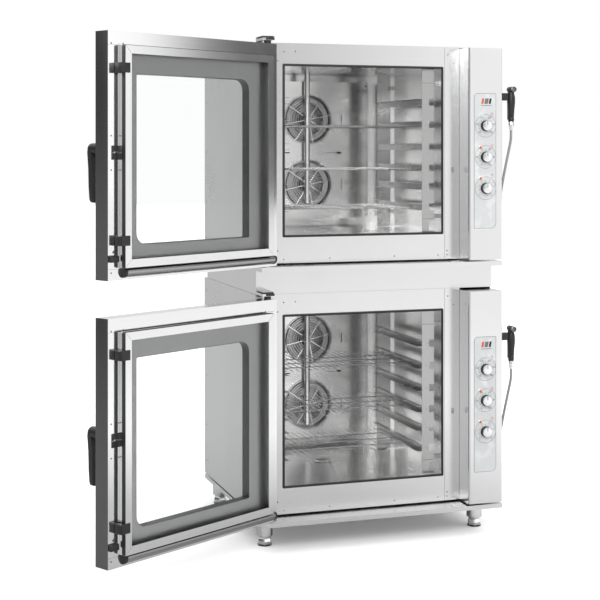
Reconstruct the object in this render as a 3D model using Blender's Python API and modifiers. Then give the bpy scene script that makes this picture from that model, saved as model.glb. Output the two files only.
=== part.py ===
"""Two convection ovens stacked on feet, each with an open glass door, in metres with +Z up.

Every oven is built in its own frame: X runs right along the front, Y back into the oven and
Z up from the underside of its body. Each door stands open and is built closed under a hinge empty.
"""

import math

import bmesh
import bpy
from mathutils import Matrix, Vector

# Overall sizes.
WIDTH = 0.940
DEPTH = 0.731
BODY_HEIGHT = 0.796
OVEN_BASES = {"lower": 0.1190, "upper": 1.0255}
APRON = -0.084
SHEET = 0.0015
GAP = 0.0003

# Oven chamber and front.
MOUTH_X = (0.1114, 0.7280)
MOUTH_Z = (0.1012, 0.7132)
CHAMBER_Z = (0.0962, 0.7182)
CHAMBER_BACK = 0.722
STILE_SEAM = 0.7417
COLUMN_LEFT = 0.8028
COLUMN_HEIGHT = 0.789
CENTRE_X = 0.4198
FAN_HEIGHTS = {"low": 0.266, "high": 0.534}
RAIL_HEIGHTS = (0.195, 0.272, 0.3415, 0.421, 0.505, 0.589)
SHELF_MIDDLE = 0.39185
SHELF_RAILS = (0, 2, 4)
SHELF_DROP = 0.0075

# Door, measured from its hinge edge when it is closed.
HINGE = Vector((0.0288, -0.0591, 0.0))
DOOR_EDGE = 0.008
DOOR_FACE = -0.034
DOOR_WIDTH = 0.780
DOOR_DEPTH = 0.060
DOOR_Z = (-0.002, 0.786)
DOOR_OPEN = math.radians(150)
WINDOW_X = (0.1425, 0.6640)
WINDOW_Z = (0.106, 0.654)
OUTER_VIEW_X = (0.110, 0.700)
OUTER_VIEW_Z = (0.070, 0.700)
PANE_X = (0.044, 0.731)
PANE_Z = (0.038, 0.741)
PANE_RISE = 0.0275
CLIP_HEIGHTS = {"low": 0.124, "high": 0.6695}

# Controls and spray.
KNOB_X = 0.870
KNOB_HEIGHTS = {"low": 0.2665, "mid": 0.383, "high": 0.499}
GUN_X = 1.003
GUN_Y = -0.030
INLET = Vector((0.957, 0.250, 0.300))
HOSE_RADIUS = 0.0048
HOSE_ROUTE = (
    (0.957, 0.250, 0.2797),
    (0.957, 0.250, 0.200),
    (0.958, 0.246, 0.130),
    (0.962, 0.218, 0.068),
    (0.968, 0.168, 0.042),
    (0.974, 0.114, 0.062),
    (0.979, 0.070, 0.124),
    (0.983, 0.030, 0.215),
    (0.986, 0.000, 0.305),
    (0.995, -0.019, 0.390),
    (1.002, -0.029, 0.445),
    (1.003, -0.030, 0.4847),
)

PAINTS = {
    "steel": ((0.62, 0.62, 0.63, 1.0), 1.0, 0.32),
    "bright": ((0.75, 0.75, 0.76, 1.0), 1.0, 0.18),
    "black": ((0.02, 0.02, 0.022, 1.0), 0.0, 0.45),
    "glass": ((0.80, 0.86, 0.86, 1.0), 0.0, 0.05),
    "hose": ((0.42, 0.42, 0.43, 1.0), 0.3, 0.50),
}


def clear_scene():
    for obj in list(bpy.data.objects):
        bpy.data.objects.remove(obj, do_unlink=True)


def new_collection(name, hidden):
    collection = bpy.data.collections.new(name)
    collection.hide_render = hidden
    bpy.context.scene.collection.children.link(collection)
    return collection


def material_for(name, paint):
    colour, metallic, roughness = PAINTS[paint]
    material = bpy.data.materials.new(name)
    material.use_nodes = True
    shader = material.node_tree.nodes["Principled BSDF"]
    shader.inputs["Base Color"].default_value = colour
    shader.inputs["Metallic"].default_value = metallic
    shader.inputs["Roughness"].default_value = roughness
    return material


def empty_at(name, location, parent=None, turn=0.0):
    empty = bpy.data.objects.new(name, None)
    empty.empty_display_size = 0.05
    empty.location = location
    empty.rotation_euler = (0.0, 0.0, turn)
    empty.parent = parent
    PARTS.objects.link(empty)
    return empty


def place(name, bm, parent, paint=None, location=(0.0, 0.0, 0.0)):
    """One object from a bmesh: a named piece when it has a paint, otherwise a hidden tool for a Boolean."""
    bmesh.ops.recalc_face_normals(bm, faces=bm.faces)
    mesh = bpy.data.meshes.new(name)
    bm.to_mesh(mesh)
    bm.free()
    obj = bpy.data.objects.new(name, mesh)
    obj.parent = parent
    obj.location = location
    if paint is None:
        obj.hide_render = True
        obj.display_type = "WIRE"
        TOOLS.objects.link(obj)
        return obj
    obj.data.materials.append(material_for(name, paint))
    PARTS.objects.link(obj)
    return obj


def add_box(bm, low, high):
    low = Vector(low)
    high = Vector(high)
    frame = Matrix.Translation((low + high) / 2) @ Matrix.Diagonal((*(high - low), 1.0))
    return bmesh.ops.create_cube(bm, size=1.0, matrix=frame)["verts"]


def add_cylinder(bm, start, end, radius, sides=16, end_radius=None):
    start = Vector(start)
    end = Vector(end)
    along = end - start
    frame = Matrix.Translation((start + end) / 2) @ along.to_track_quat("Z", "Y").to_matrix().to_4x4()
    bmesh.ops.create_cone(
        bm,
        cap_ends=True,
        segments=sides,
        radius1=radius,
        radius2=radius if end_radius is None else end_radius,
        depth=along.length,
        matrix=frame,
    )


def boxes(name, parent, spans, paint=None, location=(0.0, 0.0, 0.0)):
    bm = bmesh.new()
    for low, high in spans:
        add_box(bm, low, high)
    return place(name, bm, parent, paint, location)


def rods(name, parent, spans, paint=None, sides=16, location=(0.0, 0.0, 0.0)):
    """Cylinders, each given as its start, end and radius."""
    bm = bmesh.new()
    for start, end, radius in spans:
        add_cylinder(bm, start, end, radius, sides)
    return place(name, bm, parent, paint, location)


def turned(name, parent, profile, paint=None, sides=16, turn=None, location=(0.0, 0.0, 0.0)):
    """A profile of (radius, height) points, closed on its axis, swept once round Z."""
    bm = bmesh.new()
    points = [bm.verts.new((radius, 0.0, height)) for radius, height in profile]
    edges = [bm.edges.new(pair) for pair in zip(points, points[1:])]
    bmesh.ops.spin(
        bm,
        geom=points + edges,
        cent=(0.0, 0.0, 0.0),
        axis=(0.0, 0.0, 1.0),
        angle=math.tau,
        steps=sides,
        use_merge=True,
    )
    bmesh.ops.remove_doubles(bm, verts=bm.verts, dist=0.00001)
    if turn is not None:
        bmesh.ops.transform(bm, matrix=turn, verts=bm.verts)
    obj = place(name, bm, parent, paint, location)
    obj.data.shade_smooth()
    obj.data.set_sharp_from_angle(angle=math.radians(35))
    return obj


def prism(name, parent, outline, start, end, paint=None):
    """An outline of (x, z) points drawn on an XZ plane and pushed along Y."""
    bm = bmesh.new()
    face = bm.faces.new([bm.verts.new((x, start, z)) for x, z in outline])
    pushed = bmesh.ops.extrude_face_region(bm, geom=[face])
    moved = [item for item in pushed["geom"] if isinstance(item, bmesh.types.BMVert)]
    bmesh.ops.translate(bm, verts=moved, vec=(0.0, end - start, 0.0))
    return place(name, bm, parent, paint)


def sheet_box(name, parent, low, high, open_side, paint, rounding=0.0):
    """A folded sheet box, open on one side; rounding rolls its two upright front corners."""
    bm = bmesh.new()
    add_box(bm, low, high)
    bmesh.ops.recalc_face_normals(bm, faces=bm.faces)
    toward = Vector(open_side)
    open_face = max(bm.faces, key=lambda face: face.normal.dot(toward))
    if rounding:
        upright = [edge for edge in bm.edges if is_front_upright(edge, low[1])]
        bmesh.ops.bevel(bm, geom=upright, offset=rounding, segments=3, profile=0.5, affect="EDGES")
        open_face = max(bm.faces, key=lambda face: face.normal.dot(toward))
    bmesh.ops.delete(bm, geom=[open_face], context="FACES_ONLY")
    mesh = bpy.data.meshes.new(name)
    bm.to_mesh(mesh)
    bm.free()
    obj = bpy.data.objects.new(name, mesh)
    obj.parent = parent
    obj.data.materials.append(material_for(name, paint))
    PARTS.objects.link(obj)
    skin = obj.modifiers.new("sheet", "SOLIDIFY")
    skin.thickness = SHEET
    skin.offset = -1.0
    skin.use_even_offset = True
    return obj


def is_front_upright(edge, front):
    ends = [vert.co for vert in edge.verts]
    return all(abs(end.y - front) < 1e-6 for end in ends) and abs(ends[0].z - ends[1].z) > 0.01


def combine(obj, tool, operation):
    change = obj.modifiers.new(tool.name, "BOOLEAN")
    change.operation = operation
    change.solver = "EXACT"
    change.object = tool


def cut(obj, tool):
    combine(obj, tool, "DIFFERENCE")


def join(obj, tool):
    combine(obj, tool, "UNION")


def build_base(root):
    """The low frame with its front lip, four adjustable feet and the plinth between the ovens."""
    top = OVEN_BASES["lower"] - 0.006
    sheet_box("base_frame", root, (0.0, APRON, 0.0966), (WIDTH, DEPTH, top), (0, 0, -1), "steel")
    foot = (
        (0.0, 0.0),
        (0.024, 0.0),
        (0.026, 0.007),
        (0.021, 0.028),
        (0.0185, 0.0305),
        (0.0185, 0.0335),
        (0.029, 0.0355),
        (0.029, top - SHEET - GAP),
        (0.0, top - SHEET - GAP),
    )
    for side, x in (("left", 0.052), ("right", 0.888)):
        for end, y in (("front", 0.053), ("rear", 0.684)):
            turned(f"foot_{end}_{side}", root, foot, "bright", location=(x, y, 0.0))
    build_plinth(root)


def build_plinth(root):
    bottom = OVEN_BASES["lower"] + BODY_HEIGHT + GAP
    top = OVEN_BASES["upper"] - 0.006
    plinth = sheet_box(
        "plinth", root, (0.004, 0.0015, bottom), (0.936, 0.700, top - 0.001), (0, 0, -1), "steel"
    )
    apron = boxes("plinth_lip_outer", root, [((0.0, APRON, top - 0.018), (WIDTH, 0.720, top))])
    hollow = boxes(
        "plinth_lip_inner",
        root,
        [
            ((SHEET, APRON + SHEET, top - 0.030), (WIDTH - SHEET, 0.0015, top - SHEET)),
            ((0.0055, 0.0030, top - 0.140), (0.9345, 0.6985, top - SHEET)),
        ],
    )
    join(plinth, apron)
    cut(plinth, hollow)


def build_oven(level, root):
    base = empty_at(f"{level}_oven", (0.0, 0.0, OVEN_BASES[level]), root)
    build_cabinet(level, base)
    build_front(level, base)
    build_chamber(level, base)
    for side in ("left", "right"):
        build_rack(level, side, base)
    build_shelves(level, base)
    build_door(level, base)
    build_knobs(level, base)
    build_spray(level, base)


def build_cabinet(level, base):
    cabinet = sheet_box(
        f"{level}_cabinet", base, (0.0, 0.020, 0.0), (WIDTH, DEPTH, BODY_HEIGHT), (0, -1, 0), "steel"
    )
    feet = [((x, y, -0.0057), (x, y, 0.0008), 0.015) for x in (0.135, 0.805) for y in (0.060, 0.680)]
    join(cabinet, rods(f"{level}_pressed_feet", base, feet, sides=10))
    motor_box = boxes(f"{level}_motor_box", base, [((0.120, 0.7305, 0.100), (0.820, 0.850, 0.700))])
    motor_room = boxes(f"{level}_motor_room", base, [((0.1215, 0.7200, 0.1015), (0.8185, 0.8485, 0.6985))])
    join(cabinet, motor_box)
    cut(cabinet, motor_room)
    inlet = [
        ((WIDTH - 0.0010, INLET.y, INLET.z), tuple(INLET), 0.0080),
        ((INLET.x, INLET.y, 0.2800), (INLET.x, INLET.y, 0.3090), 0.0085),
    ]
    for number, span in enumerate(inlet):
        join(cabinet, rods(f"{level}_inlet_{number}", base, [span], sides=10))


def build_front(level, base):
    """Fascia with its stile, mouth, seam and the bracket that carries the top of the door."""
    front = sheet_box(
        f"{level}_front_frame",
        base,
        (0.0, 0.0, 0.0),
        (COLUMN_LEFT - 2 * GAP, 0.020 - GAP, BODY_HEIGHT),
        (0, 1, 0),
        "steel",
    )
    mouth = ((MOUTH_X[0], -0.01, MOUTH_Z[0]), (MOUTH_X[1], 0.01, MOUTH_Z[1]))
    seam = ((STILE_SEAM - 0.0005, -0.01, -0.01), (STILE_SEAM + 0.0005, 0.0007, 0.81))
    cut(front, boxes(f"{level}_mouth", base, [mouth, seam]))
    arm = ((0.0030, APRON, 0.7980), (0.0470, 0.0008, 0.8130))
    stem = ((0.0030, -0.0060, 0.7400), (0.0470, 0.0008, 0.8050))
    join(front, boxes(f"{level}_bracket_arm", base, [arm]))
    join(front, boxes(f"{level}_bracket_stem", base, [stem]))
    seal = boxes(
        f"{level}_seal", base, [((0.1034, -0.0036, 0.0932), (0.7361, -GAP, 0.7212))], "black"
    )
    cut(seal, boxes(f"{level}_seal_mouth", base, [((0.1184, -0.01, 0.1082), (0.7211, 0.01, 0.7062))]))
    sheet_box(
        f"{level}_control_column",
        base,
        (COLUMN_LEFT, APRON, 0.0),
        (WIDTH, 0.020 - GAP, COLUMN_HEIGHT),
        (0, 1, 0),
        "steel",
        rounding=0.006,
    )


def build_chamber(level, base):
    liner = sheet_box(
        f"{level}_chamber",
        base,
        (MOUTH_X[0] - SHEET, SHEET + GAP, CHAMBER_Z[0] - SHEET),
        (MOUTH_X[1] + SHEET, CHAMBER_BACK + SHEET, CHAMBER_Z[1] + SHEET),
        (0, -1, 0),
        "steel",
    )
    pipe = [((0.4083, 0.630, 0.190), (0.4083, 0.630, CHAMBER_Z[1] + 0.0008), 0.012)]
    join(liner, rods(f"{level}_steam_pipe", base, pipe, sides=12))
    baffle = sheet_box(
        f"{level}_baffle", base, (0.155, 0.650, 0.125), (0.683, 0.668, 0.690), (0, 1, 0), "steel"
    )
    posts = [(x, z) for x in (0.166, 0.672) for z in (0.136, 0.679)]
    for number, (x, z) in enumerate(posts):
        span = ((x - 0.006, 0.651, z - 0.006), (x + 0.006, CHAMBER_BACK - GAP, z + 0.006))
        join(baffle, boxes(f"{level}_post_{number}", base, [span]))
    ports = [((CENTRE_X, 0.64, z), (CENTRE_X, 0.66, z), 0.100) for z in FAN_HEIGHTS.values()]
    cut(baffle, rods(f"{level}_fan_ports", base, ports, sides=28))
    for place_name, z in FAN_HEIGHTS.items():
        build_fan(f"{level}_fan_{place_name}", base, z)


def build_fan(name, base, height):
    """An impeller: straight blades round a hub on a round back plate, turning about Y."""
    shaft = empty_at(f"{name}_axis", (CENTRE_X, 0.0, height), base)
    blades = 12
    outline = []
    for blade in range(blades):
        angle = math.tau * blade / blades
        for radius, offset in ((0.030, -0.0030), (0.088, -0.0015), (0.088, 0.0015), (0.030, 0.0030)):
            across = math.asin(offset / radius)
            outline.append((radius * math.cos(angle + across), radius * math.sin(angle + across)))
    fan = prism(name, shaft, outline, 0.657, 0.706, "bright")
    plate = rods(f"{name}_plate", shaft, [((0, 0.704, 0), (0, 0.7065, 0), 0.090)], sides=28)
    stub = rods(f"{name}_stub", shaft, [((0, 0.700, 0), (0, CHAMBER_BACK - GAP, 0), 0.008)], sides=10)
    join(fan, plate)
    join(fan, stub)


def build_rack(level, side, base):
    """Six C rails on a front and a rear upright, hooked to the chamber wall.

    The left rack stands close to its wall, so its uprights are narrow and have no windows.
    """
    name = f"{level}_rack_{side}"
    right = side == "right"
    wall = MOUTH_X[1] - GAP if right else 2 * SHELF_MIDDLE - MOUTH_X[0] - GAP
    front_edge = 0.7115 if right else wall - 0.0007
    rear_edge = 0.7190 if right else wall - 0.0007

    def span(x0, x1, y0, y1, z0, z1):
        low, high = (x0, x1) if right else (2 * SHELF_MIDDLE - x1, 2 * SHELF_MIDDLE - x0)
        return (low, y0, z0), (high, y1, z1)

    rack = boxes(name, base, [span(0.662, front_edge, 0.0290, 0.0305, 0.1000, 0.7150)], "steel")
    windows = [span(0.691, 0.710, 0.02, 0.04, z - 0.013, z + 0.013) for z in RAIL_HEIGHTS[1:]]
    windows.append(span(0.691, 0.710, 0.02, 0.04, 0.182, 0.208))
    windows.append(span(0.691, 0.710, 0.02, 0.04, 0.106, 0.143))
    rear = span(0.662, rear_edge, 0.4860, 0.4875, 0.1000, 0.7150)
    join(rack, boxes(f"{name}_rear", base, [rear]))
    hooks = []
    for z in (0.160, 0.660):
        hooks.append(span(front_edge - 0.0065, wall, 0.0295, 0.0420, z - 0.008, z + 0.008))
        hooks.append(span(rear_edge - 0.0060, wall, 0.4750, 0.4870, z - 0.008, z + 0.008))
    join(rack, boxes(f"{name}_hooks", base, hooks))
    for number, z in enumerate(RAIL_HEIGHTS):
        outline = [(0.6435, 0.0120), (0.6435, 0.0108), (0.6640, 0.0108), (0.6640, -0.0108)]
        outline += [(0.6435, -0.0108), (0.6435, -0.0120), (0.6652, -0.0120), (0.6652, 0.0120)]
        points = [(x if right else 2 * SHELF_MIDDLE - x, z + rise) for x, rise in outline]
        join(rack, prism(f"{name}_rail_{number}", base, points, 0.0295, 0.4868))
    if right:
        cut(rack, boxes(f"{name}_windows", base, windows))


def build_shelves(level, base):
    left, right = 2 * SHELF_MIDDLE - 0.656, 0.656
    front, back = 0.075, 0.480
    for number, rail in enumerate(SHELF_RAILS, 1):
        name = f"{level}_shelf_{number}"
        slide = empty_at(f"{name}_slide", (0.0, 0.0, RAIL_HEIGHTS[rail] - SHELF_DROP), base)
        shelf = boxes(name, slide, [((left, front, -0.003), (right, back, 0.003))], "bright")
        inner = ((left + 0.006, front + 0.006, -0.01), (right - 0.006, back - 0.006, 0.01))
        cut(shelf, boxes(f"{name}_hole", slide, [inner]))
        bars = [((left + 0.001, y, -0.002), (right - 0.001, y + 0.004, 0.002)) for y in (0.205, 0.345)]
        join(shelf, boxes(f"{name}_bars", slide, bars))
        step = (right - left) / 10
        wires = []
        for count in range(1, 10):
            x = left + step * count
            wires.append(((x - 0.0012, front + 0.002, 0.0015), (x + 0.0012, back - 0.002, 0.0045)))
        join(shelf, boxes(f"{name}_wires", slide, wires))


def door_point(s, off, z):
    """A point of the closed door in its hinge's frame: s from the hinge edge, off toward the oven."""
    return Vector((DOOR_EDGE + s, DOOR_FACE + off, z)) - HINGE


def door_span(s, off, z):
    return tuple(door_point(s[0], off[0], z[0])), tuple(door_point(s[1], off[1], z[1]))


def window_outline():
    """The window's outline: its upper hinge corner and lower free corner are round."""
    radius = 0.040
    left, right = (door_point(s, 0, 0).x for s in WINDOW_X)
    low, high = WINDOW_Z
    free_corner = arc_points((right - radius, low + radius), radius, -90)
    hinge_corner = arc_points((left + radius, high - radius), radius, 90)
    return [(left, low), *free_corner, (right, high), *hinge_corner]


def arc_points(middle, radius, first, steps=6):
    """A quarter turn round a corner, starting at an angle in degrees."""
    angles = [math.radians(first + 90 * step / steps) for step in range(steps + 1)]
    return [(middle[0] + radius * math.cos(a), middle[1] + radius * math.sin(a)) for a in angles]


def build_door(level, base):
    hinge = empty_at(f"{level}_door_hinge", HINGE, base, turn=-DOOR_OPEN)
    name = f"{level}_door"
    whole = door_span((0, DOOR_WIDTH), (-DOOR_DEPTH, 0), DOOR_Z)
    door = boxes(f"{name}_shell", hinge, [whole], "steel")
    inside = door_span(
        (SHEET, DOOR_WIDTH - SHEET),
        (SHEET - DOOR_DEPTH, -SHEET),
        (DOOR_Z[0] + SHEET, DOOR_Z[1] - SHEET),
    )
    cut(door, boxes(f"{name}_inside", hinge, [inside]))
    near, far = door_point(0, -0.01, 0).y, door_point(0, 0.01, 0).y
    cut(door, prism(f"{name}_window", hinge, window_outline(), near, far))
    outer_view = door_span(OUTER_VIEW_X, (-0.070, -0.050), OUTER_VIEW_Z)
    cut(door, boxes(f"{name}_outer_view", hinge, [outer_view]))
    wall = WINDOW_X[0] - 0.0007
    tunnel = door_span((wall - SHEET, wall), (-0.031, -0.0007), (WINDOW_Z[0], WINDOW_Z[1] - 0.040))
    join(door, boxes(f"{name}_tunnel", hinge, [tunnel]))
    pins = (
        ((0, 0, DOOR_Z[1] - 0.0008), (0, 0, 0.7977), 0.006),
        ((0, 0, -0.0057), (0, 0, DOOR_Z[0] + 0.0008), 0.006),
    )
    join(door, rods(f"{name}_pins", hinge, pins, sides=10))
    glass = door_span((0.095, 0.715), (-0.0582, -0.0532), (0.055, 0.715))
    boxes(f"{name}_glass", hinge, [glass], "glass")
    build_pane(level, hinge)
    build_clips(level, hinge)
    build_handle(level, hinge)


def build_pane(level, hinge):
    """The inner glass in its folded frame, which swings open from the door for cleaning."""
    axis = door_point(PANE_X[0], GAP, 0)
    turning = empty_at(f"{level}_inner_hinge", axis, hinge)
    low = door_point(PANE_X[0], GAP, PANE_Z[0]) - axis
    high = door_point(PANE_X[1], PANE_RISE, PANE_Z[1]) - axis
    frame = sheet_box(f"{level}_inner_frame", turning, tuple(low), tuple(high), (0, -1, 0), "steel")
    border = 0.026
    hole = (low.x + border, -0.01, low.z + border), (high.x - border, 0.05, high.z - border)
    cut(frame, boxes(f"{level}_inner_hole", turning, [hole]))
    inset = SHEET + GAP
    glass_low = (low.x + inset, high.y - SHEET - GAP - 0.004, low.z + inset)
    glass_high = (high.x - inset, high.y - SHEET - GAP, high.z - inset)
    boxes(f"{level}_inner_glass", turning, [(glass_low, glass_high)], "glass")


def build_clips(level, hinge):
    """Two turn buttons on the free stile hold the inner frame against the door."""
    for place_name, z in CLIP_HEIGHTS.items():
        name = f"{level}_clip_{place_name}"
        pivot = empty_at(f"{name}_axis", door_point(0.7505, 0, z), hinge)
        half = 0.0145
        post = ((-0.0125, GAP, -half), (0.0145, PANE_RISE + 0.0020, half))
        tongue = ((-0.0500, PANE_RISE + GAP, -half), (0.0, PANE_RISE + 0.0020, half))
        clip = boxes(name, pivot, [post], "bright")
        join(clip, boxes(f"{name}_tongue", pivot, [tongue]))


def build_handle(level, hinge):
    """A lever on a round boss, on the outer face of the free stile."""
    name = f"{level}_handle"
    pivot = empty_at(f"{name}_axis", door_point(0.748, 0, 0.412), hinge)
    back = -DOOR_DEPTH - GAP
    boss = rods(name, pivot, [((0, -0.108, 0), (0, back, 0), 0.024)], "black", sides=20)
    lever = boxes(f"{name}_lever", pivot, [((-0.013, -0.118, -0.172), (0.013, -0.100, 0.018))])
    soften = lever.modifiers.new("soft", "BEVEL")
    soften.width = 0.005
    soften.segments = 2
    join(boss, lever)


def build_knobs(level, base):
    profile = ((0.0, 0.0), (0.020, 0.0), (0.020, 0.005), (0.0165, 0.008), (0.0155, 0.020), (0.0, 0.020))
    forward = Matrix.Rotation(math.radians(90), 4, "X")
    for place_name, z in KNOB_HEIGHTS.items():
        turned(
            f"{level}_knob_{place_name}",
            base,
            profile,
            "bright",
            turn=forward,
            location=(KNOB_X, APRON - GAP, z),
        )


def build_spray(level, base):
    """Spray gun in its side holder, with a trigger lever and the hose to the inlet."""
    gun = turned(
        f"{level}_spray_gun",
        base,
        (
            (0.0, 0.485),
            (0.0100, 0.485),
            (0.0110, 0.520),
            (0.0125, 0.522),
            (0.0155, 0.565),
            (0.0155, 0.622),
            (0.0120, 0.634),
            (0.0, 0.634),
        ),
        "black",
        sides=14,
        location=(GUN_X, GUN_Y, 0.0),
    )
    head = [((GUN_X, -0.056, 0.638), (GUN_X, -0.012, 0.638), 0.0105)]
    join(gun, rods(f"{level}_spray_head", base, head, sides=14))
    holder = boxes(
        f"{level}_spray_holder",
        base,
        [((WIDTH + GAP, -0.042, 0.596), (GUN_X - 0.0164, -0.018, 0.624))],
        "black",
    )
    leg = ((WIDTH + GAP, -0.038, 0.560), (WIDTH + 0.006, -0.022, 0.602))
    join(holder, boxes(f"{level}_holder_leg", base, [leg]))
    axis = empty_at(f"{level}_trigger_axis", (GUN_X, -0.0115, 0.618), base)
    lever = ((-0.0045, 0.0005, -0.094), (0.0045, 0.0050, 0.006))
    boxes(f"{level}_spray_trigger", axis, [lever], "black")
    build_hose(level, base)


def smooth_route(route, per_leg):
    """Points along a smooth curve through every route point."""
    knots = [Vector(point) for point in route]
    knots = [2 * knots[0] - knots[1]] + knots + [2 * knots[-1] - knots[-2]]
    found = []
    for before, start, end, after in zip(knots, knots[1:], knots[2:], knots[3:]):
        for step in range(per_leg):
            t = step / per_leg
            found.append(
                0.5
                * (
                    2 * start
                    + (end - before) * t
                    + (2 * before - 5 * start + 4 * end - after) * t**2
                    + (3 * start - before - 3 * end + after) * t**3
                )
            )
    found.append(knots[-2])
    return found


def build_hose(level, base):
    curve = bpy.data.curves.new(f"{level}_hose", "CURVE")
    curve.dimensions = "3D"
    curve.bevel_depth = HOSE_RADIUS
    curve.bevel_resolution = 2
    curve.use_fill_caps = True
    points = smooth_route(HOSE_ROUTE, 3)
    spline = curve.splines.new("POLY")
    spline.points.add(len(points) - 1)
    for target, point in zip(spline.points, points):
        target.co = (*point, 1.0)
    hose = bpy.data.objects.new(f"{level}_hose", curve)
    hose.parent = base
    curve.materials.append(material_for(f"{level}_hose", "hose"))
    PARTS.objects.link(hose)


def centre_on_floor(root):
    """Puts the middle of everything but the hoses over the origin."""
    bpy.context.view_layer.update()
    graph = bpy.context.evaluated_depsgraph_get()
    corners = []
    for obj in PARTS.objects:
        if obj.type == "MESH":
            evaluated = obj.evaluated_get(graph)
            corners += [evaluated.matrix_world @ Vector(corner) for corner in evaluated.bound_box]
    middle = [(min(c[i] for c in corners) + max(c[i] for c in corners)) / 2 for i in range(2)]
    root.location = (-middle[0], -middle[1], 0.0)


clear_scene()
PARTS = new_collection("convection_oven_stack", hidden=False)
TOOLS = new_collection("cutting_tools", hidden=True)
ROOT = empty_at("stack_root", (0.0, 0.0, 0.0))
build_base(ROOT)
for oven_level in OVEN_BASES:
    build_oven(oven_level, ROOT)
centre_on_floor(ROOT)
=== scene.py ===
# %% [markdown]
# # Two convection ovens on one stand
# The frame comes first: it holds the real sizes, the bodies and the joints. Everything below
# only dresses it. All lengths are metres, X runs right along the front, Y back and Z up.

import math

import bmesh
import bpy
from mathutils import Euler, Matrix, Vector


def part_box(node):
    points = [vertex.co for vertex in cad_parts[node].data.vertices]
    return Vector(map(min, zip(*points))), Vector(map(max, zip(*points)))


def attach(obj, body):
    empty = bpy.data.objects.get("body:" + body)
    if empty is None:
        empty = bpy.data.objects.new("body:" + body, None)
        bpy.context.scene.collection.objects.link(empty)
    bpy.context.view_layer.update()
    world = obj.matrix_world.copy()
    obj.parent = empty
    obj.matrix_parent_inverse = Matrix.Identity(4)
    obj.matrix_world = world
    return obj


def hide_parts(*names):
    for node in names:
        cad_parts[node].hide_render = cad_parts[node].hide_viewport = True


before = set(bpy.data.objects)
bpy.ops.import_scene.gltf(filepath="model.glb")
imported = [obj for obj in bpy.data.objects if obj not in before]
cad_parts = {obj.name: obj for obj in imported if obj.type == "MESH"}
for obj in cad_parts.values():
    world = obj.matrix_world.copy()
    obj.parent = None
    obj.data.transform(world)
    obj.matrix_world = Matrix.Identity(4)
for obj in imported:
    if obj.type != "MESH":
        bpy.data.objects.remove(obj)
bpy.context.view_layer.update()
LEVELS = ("lower", "upper")
LEFT, APRON_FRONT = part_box("base_frame")[0][0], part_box("base_frame")[0][1]
APRON = -0.084
BASES = {level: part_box(f"{level}_front_frame")[0][2] for level in LEVELS}

# %% [markdown]
# ## Places on the ovens
# Each oven repeats the same parts at its own height, and each door is easiest to describe shut and
# flat. Two matrices per oven carry a shape from those drawing boards to its place: one moves, the
# other also turns it about the door's hinge by the angle at which the door stands open.

# %% Drawing boards
HINGE = Vector((0.0288, -0.0591, 0.0))
DOOR_EDGE, DOOR_FACE = 0.008, -0.034
DOOR_TURN = Matrix.Rotation(math.radians(-150), 4, "Z")
OVEN, DOOR = {}, {}
for level in LEVELS:
    OVEN[level] = Matrix.Translation((LEFT, APRON_FRONT - APRON, BASES[level]))
    shut = Matrix.Translation(Vector((DOOR_EDGE, DOOR_FACE, 0.0)) - HINGE)
    DOOR[level] = OVEN[level] @ Matrix.Translation(HINGE) @ DOOR_TURN @ shut
FLOOR_BOARD = Matrix.Translation((LEFT, APRON_FRONT - APRON, 0.0))
print("door corner", [round(v, 3) for v in DOOR["upper"] @ Vector((0.78, 0, 0))])

# %% [markdown]
# ## Camera
# A long lens a little left of the ovens and level with the upper one's middle. The view looks
# straight ahead and the lens is shifted down, as a product photographer does to keep uprights upright.

# %% Camera
eye = bpy.data.cameras.new("studio_camera")
eye.lens, eye.sensor_width, eye.shift_y = 83.31, 36.0, -0.2526
eye.clip_end = 60.0
camera = bpy.data.objects.new("studio_camera", eye)
camera.location = FLOOR_BOARD @ Vector((-1.4097, -4.7798, 1.4402))
camera.rotation_euler = Euler((math.radians(90), 0.0, math.radians(-18.286)))
bpy.context.scene.collection.objects.link(camera)
bpy.context.scene.camera = camera
print("camera", [round(v, 3) for v in camera.location])

# %% [markdown]
# ## Small helpers
# A shape is drawn in a bmesh on its board, then published: its mesh is carried to its place, so
# that the object itself stays at the origin, and it is told which body it rides on.

# %% Helpers for shapes
def publish(name, source, board, body, material, stands_for=(), sharp=38):
    """Turns a bmesh, a mesh or a list of meshes into one finished piece."""
    mesh = joined(name, source) if isinstance(source, list) else source
    if isinstance(source, bmesh.types.BMesh):
        mesh = bpy.data.meshes.new(name)
        bmesh.ops.recalc_face_normals(source, faces=source.faces)
        source.to_mesh(mesh)
        source.free()
    mesh.transform(board)
    if not len(mesh.materials):
        mesh.materials.append(material)
    mesh.shade_smooth()
    mesh.set_sharp_from_angle(angle=math.radians(sharp))
    piece = bpy.data.objects.new(name, mesh)
    bpy.context.scene.collection.objects.link(piece)
    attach(piece, body)
    if stands_for:
        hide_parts(*stands_for)
    return piece


def soft_box(bm, low, high, soften=0.0, steps=2):
    """A box with rolled edges."""
    low, high = Vector(low), Vector(high)
    frame_of = Matrix.Translation((low + high) / 2) @ Matrix.Diagonal((*(high - low), 1.0))
    corners = bmesh.ops.create_cube(bm, size=1.0, matrix=frame_of)["verts"]
    if soften:
        edges = list({edge for corner in corners for edge in corner.link_edges})
        bmesh.ops.bevel(bm, geom=edges, offset=soften, segments=steps, profile=0.5, affect="EDGES")


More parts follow.
